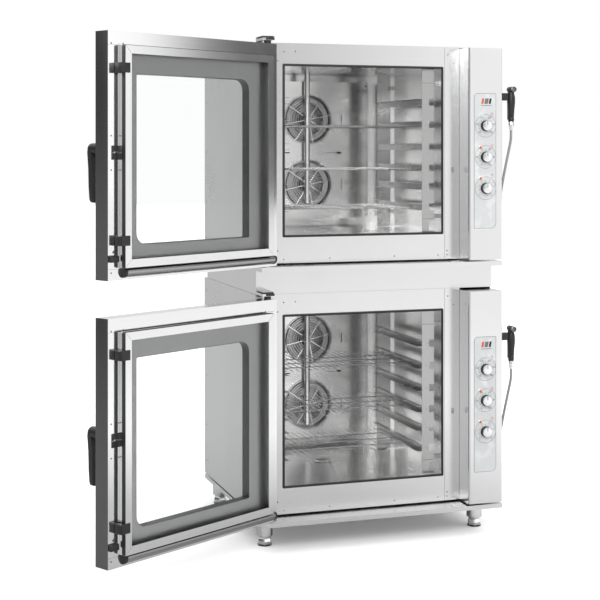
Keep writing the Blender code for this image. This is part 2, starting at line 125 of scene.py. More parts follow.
def turned(bm, profile, board=None, sides=32, waves=0, depth=0.0, between=(0.0, 0.0)):
    """A (radius, height) profile swept round Z; waves flute it between two heights."""
    rings = []
    for radius, height in profile:
        if radius < 1e-6:
            rings.append([bm.verts.new((0.0, 0.0, height))])
            continue
        ring = []
        for step in range(sides):
            angle = math.tau * step / sides
            fluted = waves and between[0] <= height <= between[1]
            r = radius - (depth * (0.5 + 0.5 * math.cos(waves * angle)) if fluted else 0.0)
            ring.append(bm.verts.new((r * math.cos(angle), r * math.sin(angle), height)))
        rings.append(ring)
    made = [vert for ring in rings for vert in ring]
    for one, two in zip(rings, rings[1:]):
        for step in range(sides):
            after = (step + 1) % sides
            corners = [one[step % len(one)], one[after % len(one)],
                       two[after % len(two)], two[step % len(two)]]
            bm.faces.new(list(dict.fromkeys(corners)))
    if board is not None:
        bmesh.ops.transform(bm, matrix=board, verts=made)


def rod(bm, start, end, radius, sides=16):
    """A straight round bar."""
    start, end = Vector(start), Vector(end)
    along = end - start
    board = Matrix.Translation(start) @ along.to_track_quat("Z", "Y").to_matrix().to_4x4()
    turned(bm, ((0, 0), (radius, 0), (radius, along.length), (0, along.length)), board, sides)


def skin(bm, rings, closed=False):
    """Faces between neighbouring rings; closed also joins the last ring to the first."""
    for one, two in zip(rings, rings[1:] + (rings[:1] if closed else [])):
        for step in range(len(one)):
            after = (step + 1) % len(one)
            bm.faces.new((one[step], one[after], two[after], two[step]))


def mesh_of(bm, material):
    """A bmesh as a mesh with one material."""
    mesh = bpy.data.meshes.new("shape")
    bmesh.ops.recalc_face_normals(bm, faces=bm.faces)
    bm.to_mesh(mesh)
    bm.free()
    mesh.materials.append(material)
    return mesh


def turned_mesh(profile, seat, sides, material):
    bm = bmesh.new()
    turned(bm, profile, seat, sides)
    return mesh_of(bm, material)


def boxes_mesh(boxes, material):
    """Boxes, each given as (low, high) with or without its softening and steps."""
    bm = bmesh.new()
    for box in boxes:
        soft_box(bm, *box)
    return mesh_of(bm, material)


def joined(name, meshes):
    """Several meshes as one, each face keeping its own material."""
    bm, finishes = bmesh.new(), []
    for mesh in meshes:
        before = len(bm.faces)
        bm.from_mesh(mesh)
        bm.faces.ensure_lookup_table()
        finishes += [finish for finish in mesh.materials if finish not in finishes]
        for face in bm.faces[before:]:
            face.material_index = finishes.index(mesh.materials[face.material_index])
    whole = bpy.data.meshes.new(name)
    bm.to_mesh(whole)
    bm.free()
    for finish in finishes:
        whole.materials.append(finish)
    return whole


FACING_FRONT = Matrix.Rotation(math.radians(90), 4, "X")
print("helpers ready")

# %% [markdown]
# ## The spray hoses
# A rinsing gun hangs beside each column on a braided hose about 10 mm thick. It leaves an inlet
# elbow on the side panel, hangs in one loop beside the panel and rises to the gun. A mesh tube with
# its own UV map is used, because the braid has to wind along the hose.

# %% Hose tubes
HOSE_RADIUS = 0.0048
HOSE_ROUTE = (
    (0.957, 0.250, 0.2797), (0.957, 0.250, 0.200), (0.958, 0.246, 0.130), (0.962, 0.218, 0.068),
    (0.968, 0.168, 0.042), (0.974, 0.114, 0.062), (0.979, 0.070, 0.124), (0.983, 0.030, 0.215),
    (0.986, 0.000, 0.305), (0.995, -0.019, 0.390), (1.002, -0.029, 0.445), (1.003, -0.030, 0.4847),
)


def smooth_route(route, per_leg):
    """Points along a smooth curve through every route point."""
    knots = [Vector(point) for point in route]
    knots = [2 * knots[0] - knots[1]] + knots + [2 * knots[-1] - knots[-2]]
    found = []
    for before, start, end, after in zip(knots, knots[1:], knots[2:], knots[3:]):
        for step in range(per_leg):
            t = step / per_leg
            straight = 2 * start + (end - before) * t
            bent = (2 * before - 5 * start + 4 * end - after) * t**2
            twisted = (3 * start - before - 3 * end + after) * t**3
            found.append(0.5 * (straight + bent + twisted))
    found.append(knots[-2])
    return found


def tube(points, radius, sides):
    """A capped tube whose UV map runs round it in U and along it, in metres, in V."""
    bm = bmesh.new()
    layer = bm.loops.layers.uv.new("along")
    side = Vector((1.0, 0.0, 0.0))
    rings, run = [], [0.0]
    for index, point in enumerate(points):
        ahead = points[min(index + 1, len(points) - 1)] - points[max(index - 1, 0)]
        ahead.normalize()
        side = (side - ahead * side.dot(ahead)).normalized()
        up = ahead.cross(side)
        turns = [math.tau * step / sides for step in range(sides)]
        spokes = [side * math.cos(turn) + up * math.sin(turn) for turn in turns]
        rings.append([bm.verts.new(point + radius * spoke) for spoke in spokes])
        if index:
            run.append(run[-1] + (point - points[index - 1]).length)
    for row, (one, two) in enumerate(zip(rings, rings[1:])):
        for step in range(sides):
            after = (step + 1) % sides
            face = bm.faces.new((one[step], one[after], two[after], two[step]))
            across = (step, step + 1, step + 1, step)
            for loop, u, v in zip(face.loops, across, (row, row, row + 1, row + 1)):
                loop[layer].uv = (u / sides, run[v])
    bm.faces.new(list(reversed(rings[0])))
    bm.faces.new(rings[-1])
    return bm, run[-1]


hoses = {}
for level in LEVELS:
    route = [OVEN[level] @ point for point in smooth_route(HOSE_ROUTE, 3)]
    hose_mesh, hose_length = tube(route, HOSE_RADIUS, 20)
    hoses[level] = (hose_mesh, hose_length, route)
print("hose length", round(hoses["upper"][1], 4))

# %% [markdown]
# ## Finishes
# Brushed sheet has fine level scratches that spread a reflection up and down but hardly sideways.
# Two node groups are shared by every metal: one draws the scratches, one lays faint hand marks and
# dust. They only put out values, and each material keeps its own Principled shader.

# %% Shared shader groups
def new_group(name, inputs, outputs):
    group = bpy.data.node_groups.new(name, "ShaderNodeTree")
    for label, kind, value in inputs:
        socket = group.interface.new_socket(label, in_out="INPUT", socket_type=kind)
        socket.default_value = value
    for label, kind in outputs:
        group.interface.new_socket(label, in_out="OUTPUT", socket_type=kind)
    return group, group.nodes.new("NodeGroupInput"), group.nodes.new("NodeGroupOutput")


def add_node(tree, kind, settings=None, **inputs):
    """A node whose inputs each take a value or another node's socket; _ stands for a space."""
    made = tree.nodes.new(kind)
    for name, value in (settings or {}).items():
        setattr(made, name, value)
    for label, value in inputs.items():
        socket = made.inputs[label.replace("_", " ")]
        if isinstance(value, bpy.types.NodeSocket):
            tree.links.new(value, socket)
        else:
            socket.default_value = value
    return made


def math_node(tree, operation, first, second, clamp=False):
    node = add_node(tree, "ShaderNodeMath", {"operation": operation, "use_clamp": clamp})
    for socket, value in zip(node.inputs, (first, second)):
        if isinstance(value, (int, float)):
            socket.default_value = value
        else:
            tree.links.new(value, socket)
    return node.outputs[0]


def noise_in(tree, stretch, scale, detail):
    """Noise in object space; stretch is a vector or the socket that gives it."""
    place = add_node(tree, "ShaderNodeTexCoord").outputs["Object"]
    mapping = add_node(tree, "ShaderNodeMapping", Vector=place, Scale=stretch)
    noise = add_node(tree, "ShaderNodeTexNoise", Vector=mapping.outputs["Vector"], Scale=scale, Detail=detail)
    return noise.outputs["Fac"]


VECTOR, FLOAT = "NodeSocketVector", "NodeSocketFloat"
GRAIN, gate, out = new_group(
    "brushed_grain",
    (("Stretch", VECTOR, (3.0, 12.0, 420.0)), ("Roughness", FLOAT, 0.25), ("Spread", FLOAT, 0.08)),
    (("Roughness", FLOAT), ("Height", FLOAT), ("Shade", FLOAT)),
)
streaks = noise_in(GRAIN, gate.outputs["Stretch"], 1.0, 3.0)
broad = noise_in(GRAIN, (1.3, 1.3, 1.3), 2.0, 2.0)
centred = math_node(GRAIN, "SUBTRACT", streaks, 0.5)
spread = math_node(GRAIN, "MULTIPLY", centred, gate.outputs["Spread"])
softened = math_node(GRAIN, "MULTIPLY", math_node(GRAIN, "SUBTRACT", broad, 0.5), 0.08)
rough = math_node(GRAIN, "ADD", math_node(GRAIN, "ADD", spread, softened), gate.outputs["Roughness"])
GRAIN.links.new(rough, out.inputs["Roughness"])
GRAIN.links.new(streaks, out.inputs["Height"])
shade = math_node(GRAIN, "ADD", math_node(GRAIN, "MULTIPLY", centred, 0.10), 1.0)
GRAIN.links.new(shade, out.inputs["Shade"])

MARKS, gate, out = new_group(
    "hand_marks",
    (("Scale", FLOAT, 6.0), ("Amount", FLOAT, 0.06)),
    (("Smear", FLOAT), ("Dust", FLOAT)),
)
place = add_node(MARKS, "ShaderNodeTexCoord").outputs["Object"]
cloud = add_node(MARKS, "ShaderNodeTexNoise", Vector=place, Scale=gate.outputs["Scale"], Detail=6.0)
above = math_node(MARKS, "SUBTRACT", cloud.outputs["Fac"], 0.52)
patch = math_node(MARKS, "MULTIPLY", above, 3.0, True)
MARKS.links.new(math_node(MARKS, "MULTIPLY", patch, gate.outputs["Amount"]), out.inputs["Smear"])
MARKS.links.new(patch, out.inputs["Dust"])
print("groups", GRAIN.name, MARKS.name)


# %% Materials
def new_material(name, colour, metallic, roughness):
    """A Principled material with plain starting values."""
    material = bpy.data.materials.new(name)
    material.use_nodes = True
    tree = material.node_tree
    shader = tree.nodes["Principled BSDF"]
    shader.inputs["Base Color"].default_value = (*colour, 1.0)
    shader.inputs["Metallic"].default_value = metallic
    shader.inputs["Roughness"].default_value = roughness
    return material, tree, shader


def use_group(tree, group, **values):
    node = tree.nodes.new("ShaderNodeGroup")
    node.node_tree = group
    for label, value in values.items():
        node.inputs[label].default_value = value
    return node.outputs


def shaded(tree, colour, shade):
    """A colour made lighter or darker by a value near 1."""
    node = add_node(tree, "ShaderNodeVectorMath", {"operation": "SCALE"}, Scale=shade)
    node.inputs[0].default_value = colour
    return node.outputs[0]


def bump_from(tree, shader, height, distance, strength=0.3):
    bump = add_node(tree, "ShaderNodeBump", Strength=strength, Distance=distance, Height=height)
    tree.links.new(bump.outputs["Normal"], shader.inputs["Normal"])


def brushed(name, colour, roughness, stretch=(3.0, 12.0, 420.0), spread=0.08, marks=0.05):
    """Sheet metal with level grain and faint hand marks."""
    material, tree, shader = new_material(name, colour, 1.0, roughness)
    grain = use_group(tree, GRAIN, Stretch=stretch, Roughness=roughness, Spread=spread)
    hands = use_group(tree, MARKS, Scale=5.0, Amount=marks)
    both = math_node(tree, "ADD", grain["Roughness"], hands["Smear"])
    tree.links.new(both, shader.inputs["Roughness"])
    tree.links.new(shaded(tree, colour, grain["Shade"]), shader.inputs["Base Color"])
    bump_from(tree, shader, grain["Height"], 0.00004, 0.15)
    return material


def moulded(name, tone, roughness, grain=900.0, bump=0.00008):
    """Plastic, rubber or print with a fine moulded skin; tone is one grey or a colour."""
    colour = tone if isinstance(tone, tuple) else (tone, tone, tone)
    material, tree, shader = new_material(name, colour, 0.0, roughness)
    skin_noise = noise_in(tree, (1.0, 1.0, 1.0), grain, 2.0)
    hands = use_group(tree, MARKS, Scale=22.0, Amount=0.10)
    tree.links.new(math_node(tree, "ADD", hands["Smear"], roughness), shader.inputs["Roughness"])
    lift = math_node(tree, "ADD", math_node(tree, "MULTIPLY", hands["Dust"], 0.35), 0.9)
    tree.links.new(shaded(tree, colour, lift), shader.inputs["Base Color"])
    bump_from(tree, shader, skin_noise, bump, 0.4)
    return material


EVEN, WIRY = (3.0, 3.0, 3.0), (40.0, 40.0, 40.0)
SHEET = brushed("brushed_sheet", (0.78, 0.78, 0.785), 0.20)
SIDE_SHEET = brushed("casing_sheet", (0.76, 0.76, 0.765), 0.24)
DOOR_SHEET = brushed("door_sheet", (0.84, 0.84, 0.845), 0.09, spread=0.03, marks=0.03)
BORDER = brushed("pane_border", (0.82, 0.82, 0.82), 0.12, EVEN, 0.03, 0.03)
# The door's free edge is steel in shadow: this near-black sheet colour is painted shade.
EDGE = brushed("door_edge_painted_shade", (0.16, 0.16, 0.163), 0.42, spread=0.04)
GUTTER = brushed("gutter_sheet", (0.36, 0.36, 0.365), 0.25, spread=0.04)
PANEL = brushed("window_panel", (0.235, 0.235, 0.235), 0.38, (8.0, 8.0, 200.0), 0.06)
CHAMBER = brushed("chamber_sheet", (0.88, 0.878, 0.875), 0.22, (2.0, 4.0, 160.0), 0.05)
RACK = brushed("rack_sheet", (0.46, 0.46, 0.458), 0.26, (6.0, 6.0, 60.0), 0.05)
SHELF_WIRE = brushed("shelf_wire", (0.42, 0.42, 0.42), 0.26, WIRY)
CHROME = brushed("bright_wire", (0.88, 0.88, 0.89), 0.12, WIRY, 0.05)
TURNED = brushed("turned_metal", (0.86, 0.86, 0.87), 0.24, (260.0, 4.0, 260.0), 0.10)
SCREW = brushed("screw_steel", (0.22, 0.22, 0.22), 0.30, (200.0, 200.0, 200.0))
BLADES = brushed("impeller_sheet", (0.55, 0.55, 0.55), 0.34, (60.0, 60.0, 60.0), marks=0.15)
BLACK = moulded("black_moulding", (0.012, 0.012, 0.013), 0.42)
RUBBER = moulded("black_silicone", 0.014, 0.55, 500.0, 0.00012)
# dark_recess is near black. In slots, vents and screw sockets it is painted shade for the dark inside of a
# hole; on seams it draws dark joints, and on the knob line and the badge it is print.
RECESS = moulded("dark_recess", 0.006, 0.7)
PRINT = moulded("grey_print", (0.16, 0.16, 0.17), 0.5)
RED_PRINT = moulded("red_print", (0.62, 0.03, 0.03), 0.5)
OVERLAY = moulded("panel_foil", (0.62, 0.635, 0.645), 0.38, 1400.0, 0.00004)

LAMP, tree, shader = new_material("lamp_lens", (0.62, 0.10, 0.02), 0.0, 0.22)
shader.inputs["Coat Weight"].default_value = 0.6
bump_from(tree, shader, noise_in(tree, (1.0, 1.0, 1.0), 700.0, 1.0), 0.0001, 0.5)

GLASS, tree, shader = new_material("clear_glass", (0.985, 0.992, 0.99), 0.0, 0.01)
shader.inputs["Transmission Weight"].default_value = 1.0
shader.inputs["IOR"].default_value = 1.12
film = use_group(tree, MARKS, Scale=4.0, Amount=0.02)
tree.links.new(math_node(tree, "ADD", film["Smear"], 0.006), shader.inputs["Roughness"])
print("materials", len(bpy.data.materials))

# %% [markdown]
# The braid is two sets of flat strands that cross. Its pattern reads the tube's own UV map: U runs
# round the hose and V along it, so a slanted wave winds like a strand.

# %% Braided sleeve
BRAID, tree, shader = new_material("hose_braid", (0.45, 0.45, 0.46), 0.55, 0.42)
along = add_node(tree, "ShaderNodeUVMap", {"uv_map": "along"}).outputs["UV"]
strands = []
for lean in (1.0, -1.0):
    mapping = add_node(tree, "ShaderNodeMapping", Vector=along, Scale=(6.0, lean * 330.0, 1.0))
    wave = add_node(tree, "ShaderNodeTexWave", {"bands_direction": "DIAGONAL"},
                    Vector=mapping.outputs["Vector"], Scale=1.0, Distortion=0.4)
    strands.append(wave.outputs["Fac"])
woven = math_node(tree, "MAXIMUM", *strands)
lift = math_node(tree, "ADD", math_node(tree, "MULTIPLY", woven, 0.6), 0.5)
polish = math_node(tree, "SUBTRACT", 0.62, math_node(tree, "MULTIPLY", woven, 0.25))
tree.links.new(shaded(tree, (0.33, 0.33, 0.34), lift), shader.inputs["Base Color"])
tree.links.new(polish, shader.inputs["Roughness"])
bump_from(tree, shader, woven, 0.0004, 0.6)
print("braid ready")

# %% [markdown]
# ## Finishing the frame's own sheets
# The casings, fascias, doors, liners and racks already have their true folded shapes, so they stay
# and only get a finish. The glass is plain clear glass.

# %% Finish the CAD nodes
def paint(node, material):
    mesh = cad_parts[node].data
    mesh.materials.clear()
    mesh.materials.append(material)


CASING = {"cabinet": SIDE_SHEET, "control_column": SHEET, "chamber": CHAMBER, "baffle": CHAMBER,
          "front_frame": SHEET, "rack_left": RACK, "rack_right": RACK, "door_shell": DOOR_SHEET,
          "inner_frame": BORDER, "door_glass": GLASS, "inner_glass": GLASS}
for level in LEVELS:
    for part, finish in CASING.items():
        paint(f"{level}_{part}", finish)
for node in ("base_frame", "plinth"):
    paint(node, SHEET)
print("sheets painted", 2 * len(CASING) + 2)

# %% [markdown]
# ## A kit for repeats
# Screws, rivets, shelf wires, guard wires and dial ticks all repeat one small shape at a list of
# places. A Geometry Nodes tree does this: it takes a mesh of bare points, stands a copy of the
# shape on each, makes the copies real and gives them their material.

# %% Scatter one shape over points
GEOMETRY, WHOLE, FINISH = "NodeSocketGeometry", "NodeSocketInt", "NodeSocketMaterial"


def new_tree(name, **inputs):
    """An empty Geometry Nodes tree with named inputs, and the sockets that give them."""
    tree = bpy.data.node_groups.new(name, "GeometryNodeTree")
    for label, kind in inputs.items():
        tree.interface.new_socket(label, in_out="INPUT", socket_type=kind)
    tree.interface.new_socket("Result", in_out="OUTPUT", socket_type=GEOMETRY)
    return tree, tree.nodes.new("NodeGroupInput").outputs


def end_tree(tree, geometry, finish):
    """Every tree ends in real copies that carry their material."""
    real = add_node(tree, "GeometryNodeRealizeInstances", Geometry=geometry)
    dressed = add_node(tree, "GeometryNodeSetMaterial", Geometry=real.outputs["Geometry"], Material=finish)
    add_node(tree, "NodeGroupOutput", Result=dressed.outputs["Geometry"])
    return tree


def scatter_tree(name, shape_nodes):
    """Stands a small shape on every point; shape_nodes builds it and returns its socket."""
    tree, given = new_tree(name, Points=GEOMETRY, Radius=FLOAT, Height=FLOAT, Turn=VECTOR, Finish=FINISH)
    spots = add_node(tree, "GeometryNodeMeshToPoints", Mesh=given["Points"])
    copies = add_node(tree, "GeometryNodeInstanceOnPoints", Points=spots.outputs["Points"],
                      Instance=shape_nodes(tree, given), Rotation=given["Turn"])
    return end_tree(tree, copies.outputs["Instances"], given["Finish"])


def bar_nodes(tree, given):
    """A round bar along Z, centred on its point."""
    bar = add_node(tree, "GeometryNodeMeshCylinder", Vertices=10, Radius=given["Radius"], Depth=given["Height"])
    return bar.outputs["Mesh"]


def dome_nodes(tree, given):
    """A low dome along Z: a sphere pressed flat, for rivets and screw heads."""
    ball = add_node(tree, "GeometryNodeMeshUVSphere", Segments=16, Rings=8, Radius=1.0)
    size = add_node(tree, "ShaderNodeCombineXYZ", X=given["Radius"], Y=given["Radius"], Z=given["Height"])
    press = add_node(tree, "GeometryNodeTransform", Geometry=ball.outputs["Mesh"], Scale=size.outputs["Vector"])
    return press.outputs["Geometry"]


def grown_mesh(tree, points=(), **values):
    """Runs a tree, over a list of points where it wants one, and returns a plain mesh."""
    seed = bpy.data.meshes.new("seed")
    seed.from_pydata([tuple(point) for point in points], [], [])
    holder = bpy.data.objects.new("holder", seed)
    bpy.context.scene.collection.objects.link(holder)
    modifier = holder.modifiers.new("grow", "NODES")
    modifier.node_group = tree
    for item in tree.interface.items_tree:
        if item.name in values:
            modifier[item.identifier] = values[item.name]
    graph = bpy.context.evaluated_depsgraph_get()
    mesh = bpy.data.meshes.new_from_object(holder.evaluated_get(graph))
    holder.modifiers.remove(modifier)
    bpy.data.objects.remove(holder)
    return mesh


def repeated(tree, points, radius, height, turn, finish):
    """A small shape on every point."""
    return grown_mesh(tree, points, Radius=radius, Height=height, Turn=turn, Finish=finish)


BARS, DOMES = scatter_tree("bars_on_points", bar_nodes), scatter_tree("domes_on_points", dome_nodes)
FLAT_ON_FRONT, FLAT_ON_SIDE = (math.radians(90), 0.0, 0.0), (0.0, math.radians(90), 0.0)
print("repeat kit:", BARS.name, DOMES.name)

# %% [markdown]
# ## Knobs
# Each knob is a turned metal body with a bright flat face, a dark fluted skirt that the fingers hold
# and a pointer line. A profile is swept round its axis, and a cosine flutes the skirt.

# %% Knobs
KNOB_X, KNOB_FRONT, KNOB_DEEP = 0.870, APRON - 0.0003, 0.020
KNOBS = {"low": 0.2665, "mid": 0.383, "high": 0.499}
CAP = ((0.0, 0.0), (0.0150, 0.0), (0.0172, 0.0005), (0.0180, 0.0020), (0.0180, 0.0040), (0.0, 0.0040))
SKIRT = (
    (0.0, 0.0038), (0.0178, 0.0038), (0.0184, 0.0050), (0.0186, 0.0120), (0.0192, 0.0150),
    (0.0200, 0.0158), (0.0200, 0.0193), (0.0192, 0.0200), (0.0, 0.0200),
)


def knob_at(level, word, height):
    """One knob; its profile runs from the face back to the column."""
    front = KNOB_FRONT - KNOB_DEEP
    seat = Matrix.Translation((KNOB_X, front, height)) @ FACING_FRONT.inverted()
    skirt = bmesh.new()
    turned(skirt, SKIRT, seat, 96, 24, 0.0016, (0.0045, 0.0125))
    line = ((KNOB_X - 0.0011, front - 0.0004, height + 0.003),
            (KNOB_X + 0.0011, front + 0.0008, height + 0.0165), 0.0003)
    parts = [turned_mesh(CAP, seat, 64, TURNED), mesh_of(skirt, BLACK), boxes_mesh([line], RECESS)]
    node = f"{level}_knob_{word}"
    publish(f"{node}_turned", parts, OVEN[level], node, TURNED, (node,))


for level in LEVELS:
    for word, height in KNOBS.items():
        knob_at(level, word, height)
print("knobs at", KNOBS)

# %% [markdown]
# ## The printed panel
# The dials are printed on a pale foil with two rounded corners. Rings, ticks and marks are thin
# solid ink shapes, so that they stay crisp close up. The ticks come from the repeat kit. The
# numbers are plain scale values, made as text and turned into mesh before they are placed.

# %% Foil, rings and lamps
FOIL_X, FOIL_Z, FOIL_ROUND = (0.8232, 0.9131), (0.117, 0.620), (0.003, 0.020, 0.003, 0.014)
INK = APRON - 0.0008
INK_TOP, INK_FOOT = INK - 0.0002, INK + 0.0003


def rounded_outline(low_x, high_x, low_z, high_z, corners, steps=8):
    """Outline of a plate in (x, z); corners are radii from bottom left, going round to the right."""
    points = []
    centres = ((low_x, low_z, 1, 1, 180), (high_x, low_z, -1, 1, 270),
               (high_x, high_z, -1, -1, 0), (low_x, high_z, 1, -1, 90))
    for (x, z, right, up, start), radius in zip(centres, corners):
        for step in range(steps + 1):
            angle = math.radians(start + 90 * step / steps)
            points.append((x + radius * (right + math.cos(angle)), z + radius * (up + math.sin(angle))))
    return points


def plate(bm, outline, front, back):
    """An outline in (x, z) drawn out between two depths."""
    one, two = ([bm.verts.new((x, depth, z)) for x, z in outline] for depth in (front, back))
    bm.faces.new(one)
    bm.faces.new(list(reversed(two)))
    skin(bm, [two, one])


def band(bm, outer, inner, front, back):
    """A flat band between two outlines that have the same number of points."""
    section = ((outer, front), (inner, front), (inner, back), (outer, back))
    skin(bm, [[bm.verts.new((x, depth, z)) for x, z in outline] for outline, depth in section], True)


def arc_points(x, z, radius, start, end, steps):
    turns = [math.radians(start + (end - start) * step / steps) for step in range(steps + 1)]
    return [(x + radius * math.sin(turn), z + radius * math.cos(turn)) for turn in turns]


def ink_arc(bm, x, z, radius, width, start, end, steps=48):
    """A printed arc; angles run clockwise from the top."""
    outer = arc_points(x, z, radius + width / 2, start, end, steps)
    inner = arc_points(x, z, radius - width / 2, start, end, steps)
    outline = outer + list(reversed(inner))
    one, two = ([bm.verts.new((px, depth, pz)) for px, pz in outline] for depth in (INK_TOP, INK_FOOT))
    last = len(outline) - 1
    for step in range(steps):
        for row, order in ((one, 1), (two, -1)):
            corners = (row[step], row[step + 1], row[last - step - 1], row[last - step])
            bm.faces.new(corners[::order])
    skin(bm, [one, two])


DIALS = (("high", 12, ("50", "100", "150", "200", "250", "280"), 270),
         ("mid", 12, ("0", "20", "40", "60", "80", "100"), 300),
         ("low", 8, ("0", "1", "2", "3", "4", "5"), 270))
DIAL_RING, TICK_RING, NUMBER_RING, NUMBER_SIZE = 0.0425, 0.0255, 0.0345, 0.0092


def dial_marks():
    """Ring, ticks and numbers round every knob."""
    rings, found = bmesh.new(), []
    for word, count, labels, sweep in DIALS:
        z = KNOBS[word]
        ink_arc(rings, KNOB_X, z, DIAL_RING, 0.0010, -180, 180, 72)
        ticks = arc_points(KNOB_X, z, TICK_RING, -sweep / 2, sweep / 2, count)
        for step, (x, up) in enumerate(ticks):
            turn = math.radians(sweep * (step / count - 0.5))
            tick = repeated(BARS, [(0, 0, 0)], 0.0006, 0.0056, (0.0, 0.0, 0.0), PRINT)
            tick.transform(Matrix.Translation((x, INK, up)) @ Matrix.Rotation(turn, 4, "Y"))
            found.append(tick)
        spots = arc_points(KNOB_X, z, NUMBER_RING, -sweep / 2, sweep / 2, len(labels) - 1)
        found += [number(label, x, up, NUMBER_SIZE) for label, (x, up) in zip(labels, spots)]
    return [mesh_of(rings, PRINT)] + found


def number(label, x, z, size):
    """A printed number, made a mesh at the origin and then carried to its place."""
    text = bpy.data.curves.new("number", "FONT")
    text.body, text.size, text.extrude = label, size, 0.00025
    text.align_x, text.align_y = "CENTER", "CENTER"
    text.resolution_u = 3
    holder = bpy.data.objects.new("number", text)
    bpy.context.scene.collection.objects.link(holder)
    graph = bpy.context.evaluated_depsgraph_get()
    mesh = bpy.data.meshes.new_from_object(holder.evaluated_get(graph))
    bpy.data.objects.remove(holder)
    mesh.materials.clear()
    mesh.materials.append(PRINT)
    mesh.transform(Matrix.Translation((x, INK, z)) @ FACING_FRONT)
    return mesh


LAMPS = ((0.849, 0.419), (0.849, 0.3037))
LENS = ((0.0, 0.0), (0.0054, 0.0), (0.0054, 0.0012), (0.0048, 0.0026), (0.0030, 0.0034), (0.0, 0.0038))
BEZEL = ((0.0, 0.0), (0.0066, 0.0), (0.0066, 0.0008), (0.0058, 0.0014), (0.0, 0.0014))


def lamp_meshes():
    seats = [Matrix.Translation((x, APRON - 0.0006, z)) @ FACING_FRONT for x, z in LAMPS]
    return [turned_mesh(profile, seat, 32, finish)
            for profile, finish in ((LENS, LAMP), (BEZEL, CHROME)) for seat in seats]


def small_marks():
    """Red reminder marks beside the dials: an open ring, a stroke and a line under them."""
    bm = bmesh.new()
    low, high = INK - 0.0002, INK + 0.0002
    for x, z in ((0.8965, 0.543), (0.8965, 0.425), (0.8965, 0.314)):
        ink_arc(bm, x, z, 0.0048, 0.0010, -150, 150, 20)
        soft_box(bm, (x - 0.0005, low, z - 0.002), (x + 0.0005, high, z + 0.0045), 0.0001)
        soft_box(bm, (x - 0.0045, low, z - 0.0085), (x + 0.0045, high, z - 0.0074), 0.0001)
    return mesh_of(bm, RED_PRINT)


BADGE_X, BADGE_Z, SLANT = 0.852, (0.581, 0.601), 0.004


def badge():
    """A plain badge without letters: three slanted bars over a line."""
    found = []
    for shift, width, finish in ((0.0, 0.009, LAMP), (0.013, 0.014, PRINT), (0.031, 0.008, RECESS)):
        bm = bmesh.new()
        left, (low, high) = BADGE_X + shift, BADGE_Z
        outline = ((left, low), (left + width, low), (left + width + SLANT, high), (left + SLANT, high))
        plate(bm, outline, INK_TOP, INK_FOOT)
        found.append(mesh_of(bm, finish))
    line = ((BADGE_X, INK_TOP, 0.5735), (BADGE_X + 0.043, INK_FOOT, 0.5755), 0.0001)
    return found + [boxes_mesh([line], PRINT)]


FOIL_LINE = 0.0012
for level in LEVELS:
    foil, edge = bmesh.new(), bmesh.new()
    shape = rounded_outline(*FOIL_X, *FOIL_Z, FOIL_ROUND)
    plate(foil, shape, APRON - 0.0006, APRON + 0.0002)
    inner = rounded_outline(FOIL_X[0] + FOIL_LINE, FOIL_X[1] - FOIL_LINE, FOIL_Z[0] + FOIL_LINE,
                            FOIL_Z[1] - FOIL_LINE, [radius - FOIL_LINE for radius in FOIL_ROUND])
    band(edge, shape, inner, INK - 0.0001, INK_FOOT)
    parts = [mesh_of(foil, OVERLAY), mesh_of(edge, PRINT), small_marks()]
    parts += dial_marks() + lamp_meshes() + badge()
    publish(f"{level}_printed_panel", parts, OVEN[level], "stack", OVERLAY)
print("printed panels", len(LAMPS), "lamps each")

# %% [markdown]
# ## Rings of parts
# Fan blades, guard spokes and drain slots stand in a circle, each turned to face outwards. A second
# tree does that: a line of points is bent into an arc by its index, and each copy turns with it.

# %% Ring trees
def ring_tree():
    """Boxes set round an arc in the XY plane."""
    tree, given = new_tree("boxes_round_an_arc", Count=WHOLE, Ring=FLOAT, Start=FLOAT, Step=FLOAT,
                           Lean=FLOAT, Size=VECTOR, Finish=FINISH)
    line = add_node(tree, "GeometryNodeMeshLine", Count=given["Count"])
    index = add_node(tree, "GeometryNodeInputIndex").outputs[0]
    angle = math_node(tree, "ADD", math_node(tree, "MULTIPLY", index, given["Step"]), given["Start"])
    x, y = (math_node(tree, "MULTIPLY", math_node(tree, rule, angle, 0.0), given["Ring"])
            for rule in ("COSINE", "SINE"))
    spot = add_node(tree, "ShaderNodeCombineXYZ", X=x, Y=y).outputs["Vector"]
    turn = add_node(tree, "ShaderNodeCombineXYZ", Z=math_node(tree, "ADD", angle, given["Lean"]))
    move = add_node(tree, "GeometryNodeSetPosition", Geometry=line.outputs["Mesh"], Position=spot)
    cube = add_node(tree, "GeometryNodeMeshCube", Size=given["Size"])
    copies = add_node(tree, "GeometryNodeInstanceOnPoints", Points=move.outputs["Geometry"],
                      Instance=cube.outputs["Mesh"], Rotation=turn.outputs["Vector"])
    return end_tree(tree, copies.outputs["Instances"], given["Finish"])


def wire_ring_tree():
    """Round wires in circles of growing radius, for guards."""
    tree, given = new_tree("wires_in_circles", Count=WHOLE, First=FLOAT, Pitch=FLOAT, Wire=FLOAT, Finish=FINISH)
    line = add_node(tree, "GeometryNodeMeshLine", Count=given["Count"], Offset=(0.0, 0.0, 0.0))
    index = add_node(tree, "GeometryNodeInputIndex").outputs[0]
    radius = math_node(tree, "ADD", math_node(tree, "MULTIPLY", index, given["Pitch"]), given["First"])
    hoop = add_node(tree, "GeometryNodeCurvePrimitiveCircle", Resolution=56, Radius=1.0)
    copies = add_node(tree, "GeometryNodeInstanceOnPoints", Points=line.outputs["Mesh"],
                      Instance=hoop.outputs["Curve"], Scale=radius)
    real = add_node(tree, "GeometryNodeRealizeInstances", Geometry=copies.outputs["Instances"])
    even = add_node(tree, "GeometryNodeSetCurveRadius", Curve=real.outputs["Geometry"], Radius=1.0)
    section = add_node(tree, "GeometryNodeCurvePrimitiveCircle", Resolution=6, Radius=given["Wire"])
    body = add_node(tree, "GeometryNodeCurveToMesh", Curve=even.outputs["Curve"],
                    Profile_Curve=section.outputs["Curve"])
    return end_tree(tree, body.outputs["Mesh"], given["Finish"])


RINGS, HOOPS = ring_tree(), wire_ring_tree()


